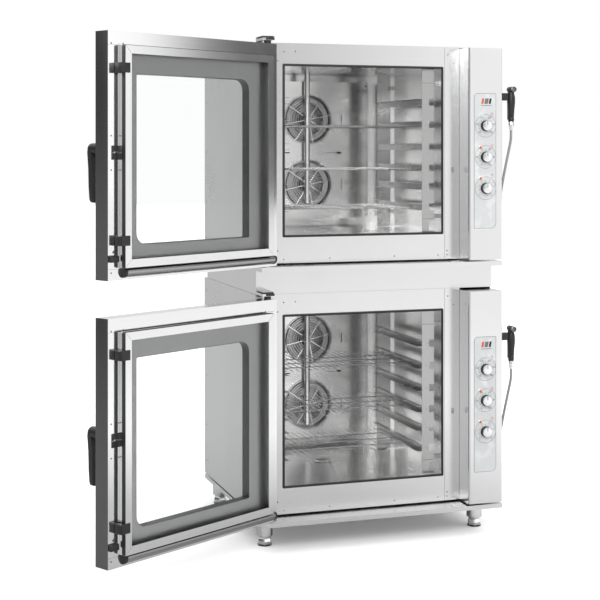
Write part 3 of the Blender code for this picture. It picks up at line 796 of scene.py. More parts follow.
def ring_of(count, ring, size, finish, board, start=0.0, lean=0.0):
    mesh = grown_mesh(RINGS, Count=count, Ring=ring, Start=start, Step=math.tau / count, Lean=lean,
                      Size=size, Finish=finish)
    mesh.transform(board)
    return mesh


print("ring kit:", RINGS.name, HOOPS.name)

# %% [markdown]
# ## Fans and guards
# Behind each port spins a blade wheel: a back disc, a front hoop and thirty flat blades that lean
# back. A wire guard stands before it, made of hoops, eight spokes, a hub and four fixing tabs.

# %% Fans and guards
CENTRE_X, FAN_HEIGHTS = 0.4198, {"low": 0.266, "high": 0.534}
WHEEL_BACK, GUARD_Y, WHEEL_SIDES = 0.7020, 0.6455, 64
DISC = ((0, -0.002), (0.0895, -0.002), (0.0895, -0.0005), (0.030, 0.001), (0.018, 0.024), (0.0, 0.024))
HOOP = ((0.0895, 0.043), (0.0895, 0.0445), (0.0700, 0.0435), (0.0700, 0.0420))
HUB = ((0, -0.0012), (0.0110, -0.0012), (0.0110, 0.0018), (0.0085, 0.0030), (0, 0.0034))


def hoop_of(section, seat, sides, finish):
    """A closed (radius, height) section swept round Z."""
    bm, rows = bmesh.new(), []
    for radius, depth in section:
        points = arc_points(0.0, 0.0, radius, 0, 360, sides)[:-1]
        rows.append([bm.verts.new(seat @ Vector((x, z, depth))) for x, z in points])
    skin(bm, rows, True)
    return mesh_of(bm, finish)


def fan_wheel(level, word, height):
    seat = Matrix.Translation((CENTRE_X, WHEEL_BACK, height)) @ FACING_FRONT
    middle = seat @ Matrix.Translation((0, 0, 0.0215))
    blades = ring_of(30, 0.0785, (0.020, 0.0012, 0.0425), BLADES, middle, 0.0, 0.5)
    parts = [turned_mesh(DISC, seat, WHEEL_SIDES, BLADES), hoop_of(HOOP, seat, WHEEL_SIDES, BLADES), blades]
    node = f"{level}_fan_{word}"
    publish(f"{node}_wheel", parts, OVEN[level], node, BLADES, (node,))


def fan_guard(height):
    seat = Matrix.Translation((CENTRE_X, GUARD_Y, height)) @ FACING_FRONT
    hoops = grown_mesh(HOOPS, Count=10, First=0.0145, Pitch=0.0099, Wire=0.0011, Finish=CHROME)
    hoops.transform(seat)
    before, behind = (seat @ Matrix.Translation((0, 0, depth)) for depth in (0.0016, -0.0030))
    spokes = ring_of(8, 0.0555, (0.097, 0.0030, 0.0020), CHROME, before, 0.20)
    tabs = ring_of(4, 0.1065, (0.012, 0.010, 0.0012), CHROME, behind, 0.60)
    return [hoops, spokes, turned_mesh(HUB, seat, 24, CHROME), tabs]


for level in LEVELS:
    guards = []
    for word, height in FAN_HEIGHTS.items():
        fan_wheel(level, word, height)
        guards += fan_guard(height)
    publish(f"{level}_fan_guards", guards, OVEN[level], "stack", CHROME)
print("fans at", FAN_HEIGHTS)

# %% [markdown]
# ## Wire shelves
# A shelf is a bent outer rod with thin wires laid across it from front to back and welded, over two
# cross rods. Wires on points make the grid, and a tube along a rounded loop makes the rod.

# %% Shelves
RAIL_HEIGHTS, SHELF_RAILS = (0.195, 0.272, 0.3415, 0.421, 0.505, 0.589), (0, 2, 4)
SHELF_X, SHELF_Y, SHELF_DROP = (0.1277, 0.6560), (0.0750, 0.4800), 0.0075
ROD, BRACE, WIRE, WIRES = 0.0029, 0.0022, 0.0013, 21
SHELF_MIDDLE = (SHELF_X[0] + SHELF_X[1]) / 2


def shelf_loop(height):
    """The outer rod's middle line, starting in the middle of the rear side."""
    low_x, high_x = SHELF_X[0] + 0.003, SHELF_X[1] - 0.003
    low_y, high_y = SHELF_Y[0] + 0.003, SHELF_Y[1] - 0.003
    flat = rounded_outline(low_x, high_x, low_y, high_y, (0.012,) * 4, 5)
    middle = (SHELF_MIDDLE, high_y)
    last_right = max(i for i, (x, y) in enumerate(flat) if x > SHELF_MIDDLE and y > SHELF_MIDDLE)
    ordered = [middle] + flat[last_right + 1:] + flat[:last_right + 1] + [middle]
    return [Vector((x, y, height)) for x, y in ordered]


def shelf_at(level, place, rail):
    height = RAIL_HEIGHTS[rail] - SHELF_DROP
    loop, _ = tube(shelf_loop(height), ROD, 12)
    loop.loops.layers.uv.remove(loop.loops.layers.uv["along"])
    first, last = SHELF_X[0] + 0.016, SHELF_X[1] - 0.016
    step = (last - first) / (WIRES - 1)
    spots = [(first + step * i, 0.2775, height + 0.0032) for i in range(WIRES)]
    cross = [(SHELF_MIDDLE, y, height - 0.0003) for y in (0.178, 0.277, 0.376)]
    span = SHELF_X[1] - SHELF_X[0] - 0.0064
    parts = [mesh_of(loop, SHELF_WIRE), repeated(BARS, spots, WIRE, 0.4000, FLAT_ON_FRONT, SHELF_WIRE),
             repeated(BARS, cross, BRACE, span, FLAT_ON_SIDE, SHELF_WIRE)]
    node = f"{level}_shelf_{place}"
    publish(f"{node}_wires", parts, OVEN[level], node, SHELF_WIRE, (node,))


for level in LEVELS:
    for place, rail in enumerate(SHELF_RAILS, 1):
        shelf_at(level, place, rail)
print("shelves on rails", SHELF_RAILS)

# %% [markdown]
# ## Seal round the mouth
# The gasket is an extruded silicone strip with a bulb, fixed all round the opening. Its section is
# swept round a rounded frame from the outer edge to the inner one.

# %% Mouth seal
SEAL_X, SEAL_Z = (0.1034, 0.7361), (0.0932, 0.7212)
SECTION = ((0.0, -0.0004), (0.0, -0.0018), (0.0012, -0.0024), (0.0028, -0.0033), (0.0050, -0.0036),
           (0.0070, -0.0033), (0.0082, -0.0022), (0.0087, -0.0008), (0.0087, -0.0003))


def framed_strip(x_range, z_range, corner, section, finish, steps=8):
    """A section of (inset, depth) pairs swept round a rounded frame."""
    bm, rows = bmesh.new(), []
    for inset, depth in section:
        radii = (max(corner - inset, 0.001),) * 4
        outline = rounded_outline(x_range[0] + inset, x_range[1] - inset,
                                  z_range[0] + inset, z_range[1] - inset, radii, steps)
        rows.append([bm.verts.new((x, depth, z)) for x, z in outline])
    skin(bm, rows, True)
    return mesh_of(bm, finish)


for level in LEVELS:
    strip = framed_strip(SEAL_X, SEAL_Z, 0.005, SECTION, RUBBER)
    publish(f"{level}_mouth_seal", strip, OVEN[level], "stack", RUBBER, (f"{level}_seal",), 50)
print("seal section points", len(SECTION))

# %% [markdown]
# ## Screws and marks on the front
# Low round screw heads hold the fascia, the column, the side sheets and the rear cover. Each group
# is one scatter of pressed spheres with a small black dome of painted shade for the socket in each.

# %% Fascia screws
FASCIA_SCREWS = (
    (0.108, 0.765), (0.152, 0.766), (0.085, 0.7315), (0.085, 0.045), (0.108, 0.014), (0.284, 0.0146),
    (0.538, 0.0158), (0.714, 0.0152), (0.755, 0.7666), (0.778, 0.7347), (0.751, 0.031), (0.751, 0.0155),
)


def heads(points, radius, turn):
    """Screw heads, each with a black dome of painted shade for its socket."""
    return [repeated(DOMES, points, radius, 0.0009, turn, SCREW),
            repeated(DOMES, points, radius * 0.45, 0.00115, turn, RECESS)]


SIDE_ROWS = (0.055, 0.200, 0.400, 0.600, 0.745)
VENT_LOW, VENT_PITCH, VENT_SIZE, VENTS = 0.180, 0.022, (0.180, 0.008), 12


def casing_details():
    """Screws of the fascia, column, sides and rear, the catch plate, the seams and the rear vents; the vents'
    black is painted shade.
    """
    found = heads([(x, -0.0001, z) for x, z in FASCIA_SCREWS], 0.0027, FLAT_ON_FRONT)
    column = [(0.8027, 0.0115, z) for z in (0.028, 0.046, 0.064, 0.088, 0.180, 0.395)]
    found += heads(column, 0.0020, FLAT_ON_SIDE)
    keeper = [0.3250 + 0.0052 * i for i in range(4)]
    found.append(boxes_mesh([((0.7690, -0.0006, z), (0.7800, 0.0003, z + 0.0030)) for z in keeper], PRINT))
    sides = [(x, y, z) for x in (-0.0001, 0.9401) for y in (0.040, 0.700) for z in SIDE_ROWS]
    found += heads(sides, 0.0028, FLAT_ON_SIDE)
    seams = [((x - 0.0002, 0.0196, 0.004), (x + 0.0002, 0.0202, 0.790)) for x in (0.0, 0.94)]
    seams.append(((0.7412, -0.0003, 0.003), (0.7421, 0.0003, 0.793)))
    found += heads([(0.9401, -0.040, 0.197)], 0.0034, FLAT_ON_SIDE) + [boxes_mesh(seams, PRINT)]
    back = [(x, 0.7311, z) for x in (0.050, 0.890) for z in (0.060, 0.400, 0.740)]
    found += heads(back, 0.0028, FLAT_ON_FRONT)
    cover = [(x, y, z) for x in (0.1199, 0.8201) for y in (0.760, 0.830) for z in (0.120, 0.680)]
    found += heads(cover, 0.0028, FLAT_ON_SIDE)
    wide, tall = VENT_SIZE
    vents = [(x, VENT_LOW + VENT_PITCH * i) for x in (0.170, 0.590) for i in range(VENTS)]
    return found + [boxes_mesh([((x, 0.8494, z), (x + wide, 0.85008, z + tall)) for x, z in vents], RECESS)]


for level in LEVELS:
    publish(f"{level}_screws_and_slots", casing_details(), OVEN[level], "stack", SCREW)
print("front screws", len(FASCIA_SCREWS))

# %% [markdown]
# ## Inside the chamber
# The rear sheet has four hooking slots, the racks are riveted at every rail, and the floor has a
# round drain strainer with two rings of slots. All the slots are black shapes of painted shade.

# %% Chamber details
DRAIN = (0.385, 0.360, 0.0979)
STRAINER = ((0.0, 0.0), (0.036, 0.0), (0.036, 0.0010), (0.033, 0.0024), (0.0, 0.0024))


REAR_SHEET = 0.6499


def chamber_details():
    """Slots and screws of the rear sheet, rivets of the racks and the drain strainer; the black of the slots
    and screw sockets is painted shade.
    """
    slots = []
    for side in (-1, 1):
        x = CENTRE_X + side * 0.1455
        slots += [((x - 0.0010, 0.6494, low), (x + 0.0010, REAR_SHEET, high))
                  for low, high in ((0.516, 0.553), (0.246, 0.287))]
        for near, far, front, low, high in ((0.126, 0.144, 0.6490, 0.3935, 0.4005),
                                            (0.080, 0.126, 0.6495, 0.3965, 0.3975)):
            ends = sorted((CENTRE_X + side * near, CENTRE_X + side * far))
            slots.append(((ends[0], front, low), (ends[1], REAR_SHEET, high)))
    slots += [((0.6622, 0.0286, z), (0.7112, 0.0291, z + 0.0008)) for z in (0.150, 0.660)]
    slots.append(((0.3200, 0.6490, 0.3950), (0.3400, REAR_SHEET, 0.3990)))
    rivets = [(0.6805, 0.0289, z) for z in RAIL_HEIGHTS]
    screws = [(x, REAR_SHEET, z) for x in (0.165, 0.673) for z in (0.140, 0.675)]
    seat = Matrix.Translation(DRAIN)
    lift = seat @ Matrix.Translation((0, 0, 0.0024))
    return [boxes_mesh(slots, RECESS), repeated(DOMES, rivets, 0.0024, 0.0009, FLAT_ON_FRONT, RACK),
            turned_mesh(STRAINER, seat, 48, CHROME),
            ring_of(12, 0.0240, (0.0100, 0.0062, 0.0004), RECESS, lift),
            ring_of(6, 0.0110, (0.0080, 0.0050, 0.0004), RECESS, lift, 0.3),
            *heads(screws, 0.0030, FLAT_ON_FRONT)]


for level in LEVELS:
    publish(f"{level}_chamber_details", chamber_details(), OVEN[level], "stack", CHAMBER)
print("drain at", DRAIN)

# %% [markdown]
# ## The inner side of the door
# The door is a folded tray. On its inner side it carries a grey panel with a round-cornered window,
# a black lining inside that window, a gasket round the hinged pane, a gutter that catches
# condensate, a latch slot and a catch. All are drawn on the flat door board as (along, out, up).

# %% Door panel, lining and gasket
WINDOW_X, WINDOW_Z, WINDOW_ROUND = (0.1425, 0.6640), (0.106, 0.654), 0.040
PANE_X, PANE_Z, PANE_RISE = (0.044, 0.731), (0.038, 0.741), 0.0275
PANEL_X, PANEL_Z = (0.0465, 0.7285), (0.0405, 0.7385)


def window_line(inset):
    """The window's outline: only the two opposite corners that are rounded in the real sheet."""
    low_x, high_x = WINDOW_X[0] + inset, WINDOW_X[1] - inset
    low_z, high_z = WINDOW_Z[0] + inset, WINDOW_Z[1] - inset
    big, small = WINDOW_ROUND - inset, 0.004
    return rounded_outline(low_x, high_x, low_z, high_z, (small, big, small, big), 12)


def door_panel(level):
    """The grey panel round the window, and the black lining inside the window."""
    panel, lining, inner = bmesh.new(), bmesh.new(), window_line(0.0)
    band(panel, rounded_outline(*PANEL_X, *PANEL_Z, (0.001,) * 4, 12), inner, 0.0009, 0.0003)
    band(lining, window_line(0.0002), window_line(0.0016), 0.0010, -0.0310)
    parts = [mesh_of(panel, PANEL), mesh_of(lining, BLACK)]
    publish(f"{level}_window_panel", parts, DOOR[level], f"{level}_door", PANEL, (), 25)


GASKET = ((-0.0002, 0.0115), (-0.0016, 0.0120), (-0.0020, 0.0150), (-0.0014, 0.0190), (-0.0020, 0.0225),
          (-0.0016, 0.0262), (-0.0002, 0.0268))


def pane_gasket(level):
    """A ribbed rubber skirt that closes the gap between the door and the hinged pane."""
    strip = framed_strip(PANE_X, PANE_Z, 0.0045, GASKET, RUBBER, 4)
    publish(f"{level}_pane_gasket", strip, DOOR[level], f"{level}_inner_pane", RUBBER, (), 50)


def mitres(level):
    """The fine joints where the four border folds meet."""
    bm = bmesh.new()
    reach, face = 0.026, PANE_RISE
    for x, right in ((PANE_X[0], 1), (PANE_X[1], -1)):
        for z, up in ((PANE_Z[0], 1), (PANE_Z[1], -1)):
            middle = Vector((x + right * reach / 2, face, z + up * reach / 2))
            tilt = Matrix.Rotation(math.radians(-45 * right * up), 4, "Y")
            board = Matrix.Translation(middle) @ tilt @ Matrix.Diagonal((reach * 1.38, 0.0004, 0.0006, 1.0))
            bmesh.ops.create_cube(bm, size=1.0, matrix=board)
    publish(f"{level}_border_mitres", bm, DOOR[level], f"{level}_inner_pane", PRINT)


for level in LEVELS:
    door_panel(level)
    pane_gasket(level)
    mitres(level)
print("window", WINDOW_X, WINDOW_Z)

# %% Door edge, gutter, latch and screws
DOOR_SCREWS = ((0.767, 0.746), (0.7175, 0.747), (0.767, 0.023), (0.767, 0.455), (0.7350, 0.455),
               (0.767, 0.347), (0.7350, 0.347), (0.060, 0.747), (0.060, 0.018))
GUTTER_SECTION = (
    (0.0006, 0.0345), (0.0100, 0.0345), (0.0150, 0.0330), (0.0180, 0.0290), (0.0185, 0.0230),
    (0.0165, 0.0160), (0.0120, 0.0100), (0.0060, 0.0065), (0.0006, 0.0060),
)
GUTTER_MIDDLE = Vector((0.0100, 0.0215))
CAP_LIP, CAP_STEP = 0.0010, 0.0012


def gutter():
    """A half-round trough under the pane with a moulded cap at each end."""
    trough, caps = bmesh.new(), bmesh.new()
    skin(trough, [[trough.verts.new((along, out, up)) for out, up in GUTTER_SECTION]
                  for along in (0.024, 0.7120)])
    for along, wide in ((0.0165, 0.0095), (0.7110, 0.0125)):
        rows, end = [], along + wide
        for at, grow in ((along, -CAP_STEP), (along + CAP_STEP, CAP_LIP),
                         (end - CAP_STEP, CAP_LIP), (end, -CAP_STEP)):
            ring = []
            for point in GUTTER_SECTION:
                away = Vector(point) - GUTTER_MIDDLE
                spot = GUTTER_MIDDLE + away * (1 + grow / max(away.length, 0.004))
                ring.append(caps.verts.new((at, max(spot.x, 0.0004), spot.y)))
            rows.append(ring)
        skin(caps, rows)
        caps.faces.new(rows[0])
        caps.faces.new(rows[-1])
    return [mesh_of(trough, GUTTER), mesh_of(caps, BLACK)]


def door_fittings(level):
    """Dark edge strip of painted shade, latch with its bar, catch, seams, screws and gutter."""
    seams = [((0.7372, -0.0003, 0.7416), (0.7795, 0.0003, 0.7421)),
             ((0.7372, -0.0003, 0.0338), (0.7795, 0.0003, 0.0343)),
             ((0.0100, -0.0003, 0.7440), (0.7380, 0.0003, 0.7448))]
    bar = [((0.7420, 0.0008, 0.4020), (0.7570, 0.0022, 0.4042), 0.0004),
           ((0.7300, 0.0009, 0.4004), (0.7650, 0.0015, 0.4010))]
    # The dark strip over the door's free edge is painted shade.
    parts = [boxes_mesh([((0.7790, -0.0600, -0.0020), (0.7803, -0.0002, 0.7860), 0.0003)], EDGE),
             boxes_mesh([((0.7290, -0.0004, 0.3790), (0.7660, 0.0012, 0.4240), 0.0010)], BLACK),
             boxes_mesh(bar, CHROME),
             boxes_mesh([((0.7410, 0.0002, 0.0560), (0.7795, 0.0120, 0.0780), 0.0050, 4)], BLACK),
             boxes_mesh(seams, RECESS)]
    parts += heads([(s, 0.0001, z) for s, z in DOOR_SCREWS], 0.0029, FLAT_ON_FRONT)
    parts += heads([(0.757, 0.0004, 0.0886)], 0.0052, FLAT_ON_FRONT) + gutter()
    publish(f"{level}_door_fittings", parts, DOOR[level], f"{level}_door", BLACK, (), 45)


for level in LEVELS:
    door_fittings(level)
print("door screws", len(DOOR_SCREWS))

# %% [markdown]
# ## Clips, handle and hinge cover
# The clips are moulded blocks with a tongue over the pane's border. The handle is a moulded lever:
# its outline is drawn flat, given its thickness and rolled at the edges.

# %% Clips
CLIP_HEIGHTS = {"low": 0.124, "high": 0.6695}
for level in LEVELS:
    for word, height in CLIP_HEIGHTS.items():
        bm = bmesh.new()
        soft_box(bm, (0.7350, 0.0004, height - 0.0160), (0.7525, 0.0275, height + 0.0160), 0.0026, 3)
        soft_box(bm, (0.7130, 0.0277, height - 0.0160), (0.7500, 0.0308, height + 0.0160), 0.0012, 3)
        rod(bm, (0.7400, 0.0300, height), (0.7400, 0.0314, height), 0.0042, 20)
        node = f"{level}_clip_{word}"
        publish(f"{node}_moulded", bm, DOOR[level], f"{level}_inner_pane", BLACK, (node,))
print("clips at", CLIP_HEIGHTS)

# %% Handle
HANDLE_S, HANDLE_Z = 0.748, 0.412


LEVER_TOE = (
    (0.0140, -0.060), (0.0125, -0.120), (0.0118, -0.158), (0.0090, -0.167), (0.0035, -0.1705),
    (-0.0040, -0.1715), (-0.0095, -0.168), (-0.0118, -0.160), (-0.0125, -0.120), (-0.0140, -0.060),
)
LEVER_ROUND, LEVER_Y = 0.0195, (-0.1178, -0.0985)
BOSS = ((0, 0), (0.0245, 0), (0.0245, 0.0040), (0.0232, 0.0060), (0.0205, 0.0075), (0.0195, 0.0400),
        (0.0188, 0.0440), (0.0, 0.0445))
BOSS_CAP = ((0, 0), (0.0085, 0), (0.0082, 0.0006), (0, 0.0009))


def lever_outline():
    """Tapered lever: round head, straight sides, slanted round toe; (along, up) from the pivot."""
    turns = [math.radians(200 - 220 * i / 14) for i in range(15)]
    head = [(LEVER_ROUND * math.cos(a), LEVER_ROUND * math.sin(a)) for a in turns]
    return [(HANDLE_S + s, HANDLE_Z + z) for s, z in head + list(LEVER_TOE)]


def handle_at(level):
    bm = bmesh.new()
    plate(bm, lever_outline(), *LEVER_Y)
    flat = [face for face in bm.faces if len(face.verts) > 4]
    rim = [edge for face in flat for edge in face.edges]
    bmesh.ops.bevel(bm, geom=rim, offset=0.0058, segments=4, profile=0.6, affect="EDGES")
    seat, front = (Matrix.Translation((HANDLE_S, y, HANDLE_Z)) @ FACING_FRONT for y in (-0.0604, -0.1171))
    parts = [mesh_of(bm, BLACK), turned_mesh(BOSS, seat, 48, BLACK), turned_mesh(BOSS_CAP, front, 32, PRINT)]
    node = f"{level}_handle"
    publish(f"{node}_moulded", parts, DOOR[level], node, BLACK, (node,))


def hinge_cover(level):
    """Black moulded cap over the bracket's end, where the door's top pin turns."""
    bm = bmesh.new()
    soft_box(bm, (0.0024, -0.0844, 0.8060), (0.0440, -0.0100, 0.8130), 0.0010)
    soft_box(bm, (0.0150, -0.0848, 0.7990), (0.0474, -0.0300, 0.8080), 0.0008)
    rod(bm, (0.0288, -0.0591, 0.7866), (0.0288, -0.0591, 0.7980), 0.0125, 24)
    publish(f"{level}_hinge_cover", bm, OVEN[level], "stack", BLACK)


for level in LEVELS:
    handle_at(level)
    hinge_cover(level)
print("handle pivot", HANDLE_S, HANDLE_Z)

# %% [markdown]
# ## Spray gun
# The rinsing gun is a moulded T: a ribbed grip, a nozzle head across its top with a steel ring and
# a thumb lever in front. It stands in a holder screwed to the column's side.

# %% Spray gun, lever and holder
GUN_X, GUN_Y, HEAD_Y, HEAD_Z = 1.003, -0.030, -0.0125, 0.638
GRIP = (
    (0.0, 0.5160), (0.0105, 0.5160), (0.0112, 0.5200), (0.0112, 0.5300), (0.0104, 0.5320),
    (0.0112, 0.5340), (0.0125, 0.5600), (0.0150, 0.5850), (0.0153, 0.6050), (0.0138, 0.6150),
    (0.0118, 0.6230), (0.0112, 0.6330), (0.0, 0.6335),
)
FERRULE = (
    (0.0, 0.4850), (0.0066, 0.4850), (0.0074, 0.4870), (0.0074, 0.4930), (0.0092, 0.4950),
    (0.0098, 0.4970), (0.0098, 0.5130), (0.0088, 0.5150), (0.0088, 0.5175), (0.0, 0.5175),
)
HEAD = (
    (0.0, -0.0010), (0.0085, -0.0010), (0.0105, 0.0015), (0.0108, 0.0260), (0.0104, 0.0350),
    (0.0104, 0.0380), (0.0, 0.0380),
)
NOZZLE = (
    (0.0068, 0.0370), (0.0104, 0.0370), (0.0108, 0.0390), (0.0106, 0.0430), (0.0092, 0.0438),
    (0.0078, 0.0436), (0.0068, 0.0425),
)
THROAT = ((0, 0.0365), (0.0075, 0.0365), (0.0070, 0.0392), (0.0030, 0.0400), (0.0, 0.0402))
LEVER = (
    (-0.0112, 0.6240), (-0.0064, 0.6236), (-0.0060, 0.6000), (-0.0070, 0.5500), (-0.0062, 0.5245),
    (-0.0108, 0.5240),
)
HOLDER = (
    ((0.9403, -0.0420, 0.5960), (0.9866, -0.0180, 0.6240), 0.0030, 3),
    ((0.9403, -0.0390, 0.5610), (0.9465, -0.0210, 0.6100), 0.0020, 3),
    ((0.9403, -0.0420, 0.6230), (0.9450, -0.0180, 0.6300), 0.0014, 2),
)
CRIMP = (
    (0, 0.2490), (0.0060, 0.2490), (0.0066, 0.2510), (0.0066, 0.2700), (0.0078, 0.2715),
    (0.0078, 0.2792), (0, 0.2794),
)


def spray_gun(level):
    """The gun, and the ferrule that joins it to the hose as a piece of its own."""
    upright = Matrix.Translation((GUN_X, GUN_Y, 0.0))
    across = Matrix.Translation((GUN_X, HEAD_Y, HEAD_Z)) @ FACING_FRONT
    grip = bmesh.new()
    turned(grip, GRIP, upright, 40)
    soft_box(grip, (GUN_X - 0.0085, -0.0300, 0.6180), (GUN_X + 0.0085, -0.0160, 0.6380), 0.0035, 3)
    parts = [mesh_of(grip, BLACK), turned_mesh(HEAD, across, 40, BLACK),
             hoop_of(NOZZLE, across, 32, SCREW), turned_mesh(THROAT, across, 24, PRINT)]
    node = f"{level}_spray_gun"
    publish(f"{node}_moulded", parts, OVEN[level], "stack", BLACK, (node,))
    ferrule = turned_mesh(FERRULE, upright, 32, CHROME)
    return publish(f"{level}_gun_ferrule", ferrule, OVEN[level], "stack", CHROME, (node,))


def spray_lever(level):
    bm = bmesh.new()
    rows = [[bm.verts.new((x, y, z)) for y, z in LEVER] for x in (GUN_X - 0.0045, GUN_X + 0.0045)]
    for row in rows:
        bm.faces.new(row)
    skin(bm, rows)
    bmesh.ops.bevel(bm, geom=list(bm.edges), offset=0.0009, segments=2, profile=0.5, affect="EDGES")
    node = f"{level}_spray_trigger"
    publish(f"{level}_spray_lever", bm, OVEN[level], node, BLACK, (node,))


def spray_holder(level):
    parts = [boxes_mesh(HOLDER, BLACK)] + heads([(0.9466, -0.0300, 0.5710)], 0.0032, FLAT_ON_SIDE)
    node = f"{level}_spray_holder"
    publish(f"{node}_moulded", parts, OVEN[level], "stack", BLACK, (node,))


for level in LEVELS:
    ferrule = spray_gun(level)
    spray_lever(level)
    spray_holder(level)
    crimp = turned_mesh(CRIMP, Matrix.Translation((*HOSE_ROUTE[0][:2], 0.0)), 32, CHROME)
    crimp = publish(f"{level}_hose_crimp", crimp, OVEN[level], "stack", CHROME)
    hose_mesh, hose_length, route = hoses[level]
    hose = publish(f"{level}_hose_braided", hose_mesh, Matrix.Identity(4), "stack", BRAID,
                   (f"{level}_hose",), 60)
print("hose", round(hose_length, 3), "m")

# %% [markdown]
# ## Feet and spacers
# Each foot is a chromed tube that screws into a wider six-sided shoe on a rubber sole. Rubber rings
# round the pressed feet keep each oven off the sheet below.

# %% Feet and spacers
FOOT_TOP = 0.1112


TUBE = ((0, 0.0290), (0.0200, 0.0290), (0.0205, 0.0340), (0.0270, 0.0352), (0.0290, 0.0372),
        (0.0290, FOOT_TOP - 0.0003), (0, FOOT_TOP - 0.0003))
SHOE = ((0, 0.0035), (0.0262, 0.0035), (0.0262, 0.0150), (0.0240, 0.0260), (0.0205, 0.0300), (0, 0.0300))
SOLE = ((0, 0.0), (0.0245, 0.0), (0.0258, 0.0012), (0.0258, 0.0040), (0, 0.0040))
SPACER = ((0, -0.0052), (0.0185, -0.0052), (0.0200, -0.0045), (0.0200, -0.0010),
          (0.0185, -0.0003), (0, -0.0003))
SPACERS = ((0.135, 0.060), (0.405, 0.060), (0.805, 0.060), (0.135, 0.680), (0.805, 0.680))


def foot_at(end, side, x, y):
    seat = Matrix.Translation((x, y, 0.0))
    shoe = bmesh.new()
    turned(shoe, SHOE, seat @ Matrix.Rotation(math.radians(12), 4, "Z"), 6)
    bmesh.ops.bevel(shoe, geom=list(shoe.edges), offset=0.0010, segments=2, profile=0.5,
                    affect="EDGES", clamp_overlap=True)
    parts = [turned_mesh(TUBE, seat, 48, CHROME), mesh_of(shoe, CHROME), turned_mesh(SOLE, seat, 48, RUBBER)]
    node = f"foot_{end}_{side}"
    publish(f"{node}_chromed", parts, FLOOR_BOARD, "stack", CHROME, (node,))


for side, x in (("left", 0.052), ("right", 0.888)):
    for end, y in (("front", 0.053), ("rear", 0.684)):
        foot_at(end, side, x, y)
for level in LEVELS:
    bm = bmesh.new()
    for x, y in SPACERS:
        turned(bm, SPACER, Matrix.Translation((x, y, 0.0)), 32)
    publish(f"{level}_spacer_rings", bm, OVEN[level], "stack", RUBBER)
print("feet 4, spacers 5 per oven")

# %% [markdown]
# ## Floor
# A plain pale floor with the faintest unevenness. Reflections see it darker, and darkest on the
# left, as if grey card lay there. It isn't part of the ovens and rides on no body.

# %% Floor
floor_bm = bmesh.new()
bmesh.ops.create_grid(floor_bm, x_segments=2, y_segments=2, size=30.0)
FLOOR_PAINT, tree, shader = new_material("pale_floor", (0.93, 0.93, 0.93), 0.0, 0.75)
floor_mesh = bpy.data.meshes.new("studio_floor")
floor_bm.to_mesh(floor_mesh)
floor_bm.free()
floor_mesh.materials.append(FLOOR_PAINT)
floor = bpy.data.objects.new("studio_floor", floor_mesh)
bpy.context.scene.collection.objects.link(floor)

drift = noise_in(tree, (1.0, 1.0, 1.0), 1.2, 3.0)
path = add_node(tree, "ShaderNodeLightPath").outputs
plain = math_node(tree, "MAXIMUM", path["Is Camera Ray"], path["Is Transmission Ray"])
place = add_node(tree, "ShaderNodeTexCoord").outputs["Object"]
across = add_node(tree, "ShaderNodeSeparateXYZ", Vector=place).outputs["X"]
card = add_node(tree, "ShaderNodeMapRange", Value=across, From_Min=0.4, From_Max=1.9, To_Min=0.40, To_Max=0.74)
tone = math_node(tree, "ADD", math_node(tree, "MULTIPLY", drift, 0.02), card.outputs["Result"])
tone = math_node(tree, "ADD", tone, math_node(tree, "MULTIPLY", plain, 0.60), True)
tree.links.new(shaded(tree, (1.0, 1.0, 1.0), tone), shader.inputs["Base Color"])
shader.inputs["Emission Color"].default_value = (1.0, 1.0, 1.0, 1.0)
tree.links.new(math_node(tree, "MULTIPLY", plain, 0.12), shader.inputs["Emission Strength"])
print("floor", [round(v, 2) for v in floor.dimensions])

# %% [markdown]
# ## Light
# Brushed sheet shows what stands round it, so the studio is mostly a ring of pale and dark walls:
# bright card to the right and behind, darker ones to the left. The ring is the world itself, as a
# ramp round the compass that turns into a bright ceiling. One soft lamp adds the fall of light
# into the chambers. Straight to the lens the world is plain white.

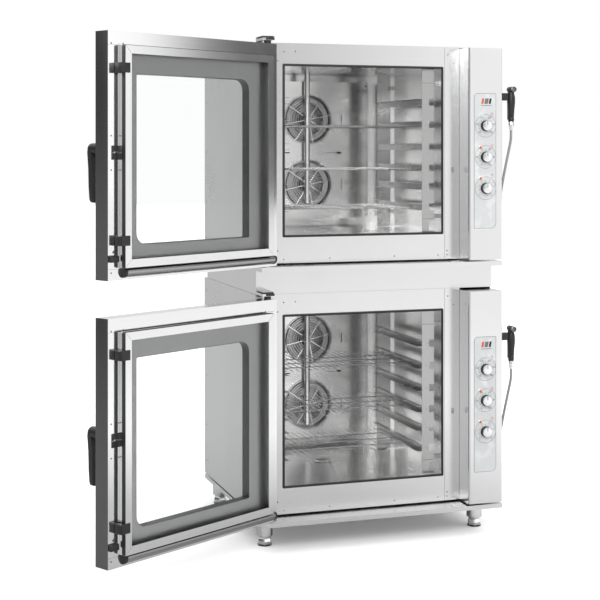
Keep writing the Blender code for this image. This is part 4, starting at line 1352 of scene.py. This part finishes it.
# %% World
WALLS = (
    (-180, 0.80), (-164, 0.62), (-155, 0.22), (-110, 0.08), (-75, 0.12), (-50, 0.70), (-12, 0.70),
    (4, 0.30), (15, 0.42), (25, 1.15), (45, 1.20), (71.5, 1.20), (75.5, 0.10), (100, 0.06),
    (125, 0.45), (150, 0.75), (180, 0.80),
)
CEILING, CEILING_FADE = (1.7, 1.7, 1.7, 1.0), (0.30, 0.75)
studio = bpy.data.worlds.new("studio")
bpy.context.scene.world = studio
studio.use_nodes = True
tree = studio.node_tree
place = add_node(tree, "ShaderNodeTexCoord").outputs["Generated"]
parts = add_node(tree, "ShaderNodeSeparateXYZ", Vector=place).outputs
back_to_front = math_node(tree, "MULTIPLY", parts["Y"], -1.0)
compass = math_node(tree, "ARCTAN2", parts["X"], back_to_front)
turned_part = math_node(tree, "ADD", math_node(tree, "DIVIDE", compass, math.tau), 0.5)
ramp = add_node(tree, "ShaderNodeValToRGB", Fac=turned_part)
ramp.color_ramp.interpolation = "EASE"
stops = ramp.color_ramp.elements
while len(stops) < len(WALLS):
    stops.new(0.5)
for stop, (angle, tone) in zip(stops, WALLS):
    stop.position = (angle + 180.0) / 360.0
    stop.color = (tone, tone, tone, 1.0)
height = add_node(tree, "ShaderNodeMapRange", {"interpolation_type": "SMOOTHSTEP"}, Value=parts["Z"],
                  From_Min=CEILING_FADE[0], From_Max=CEILING_FADE[1])
blend = add_node(tree, "ShaderNodeMix", {"data_type": "RGBA"}, Factor=height.outputs["Result"])
path = add_node(tree, "ShaderNodeLightPath").outputs
plain = math_node(tree, "MAXIMUM", path["Is Camera Ray"], path["Is Transmission Ray"])
final = add_node(tree, "ShaderNodeMix", {"data_type": "RGBA"}, Factor=plain)
tree.links.new(ramp.outputs["Color"], blend.inputs["A"])
blend.inputs["B"].default_value = CEILING
tree.links.new(blend.outputs["Result"], final.inputs["A"])
final.inputs["B"].default_value = (1.0, 1.0, 1.0, 1.0)
tree.links.new(final.outputs["Result"], tree.nodes["Background"].inputs["Color"])
bpy.context.scene.view_settings.view_transform = "Standard"
print("wall stops", len(stops))


# %% Lamp
def soft_lamp(name, at, towards, size, power):
    lamp = bpy.data.lights.new(name, "AREA")
    lamp.shape, lamp.size, lamp.energy = "DISK", size, power
    holder = bpy.data.objects.new(name, lamp)
    place_of = FLOOR_BOARD @ Vector(at)
    holder.location = place_of
    aim = FLOOR_BOARD @ Vector(towards) - place_of
    holder.rotation_euler = aim.to_track_quat("-Z", "Y").to_euler()
    bpy.context.scene.collection.objects.link(holder)


soft_lamp("key_softbox", (-0.8, -4.4, 3.4), (0.45, 0.5, 0.9), 2.2, 120.0)
print("lamps 1")
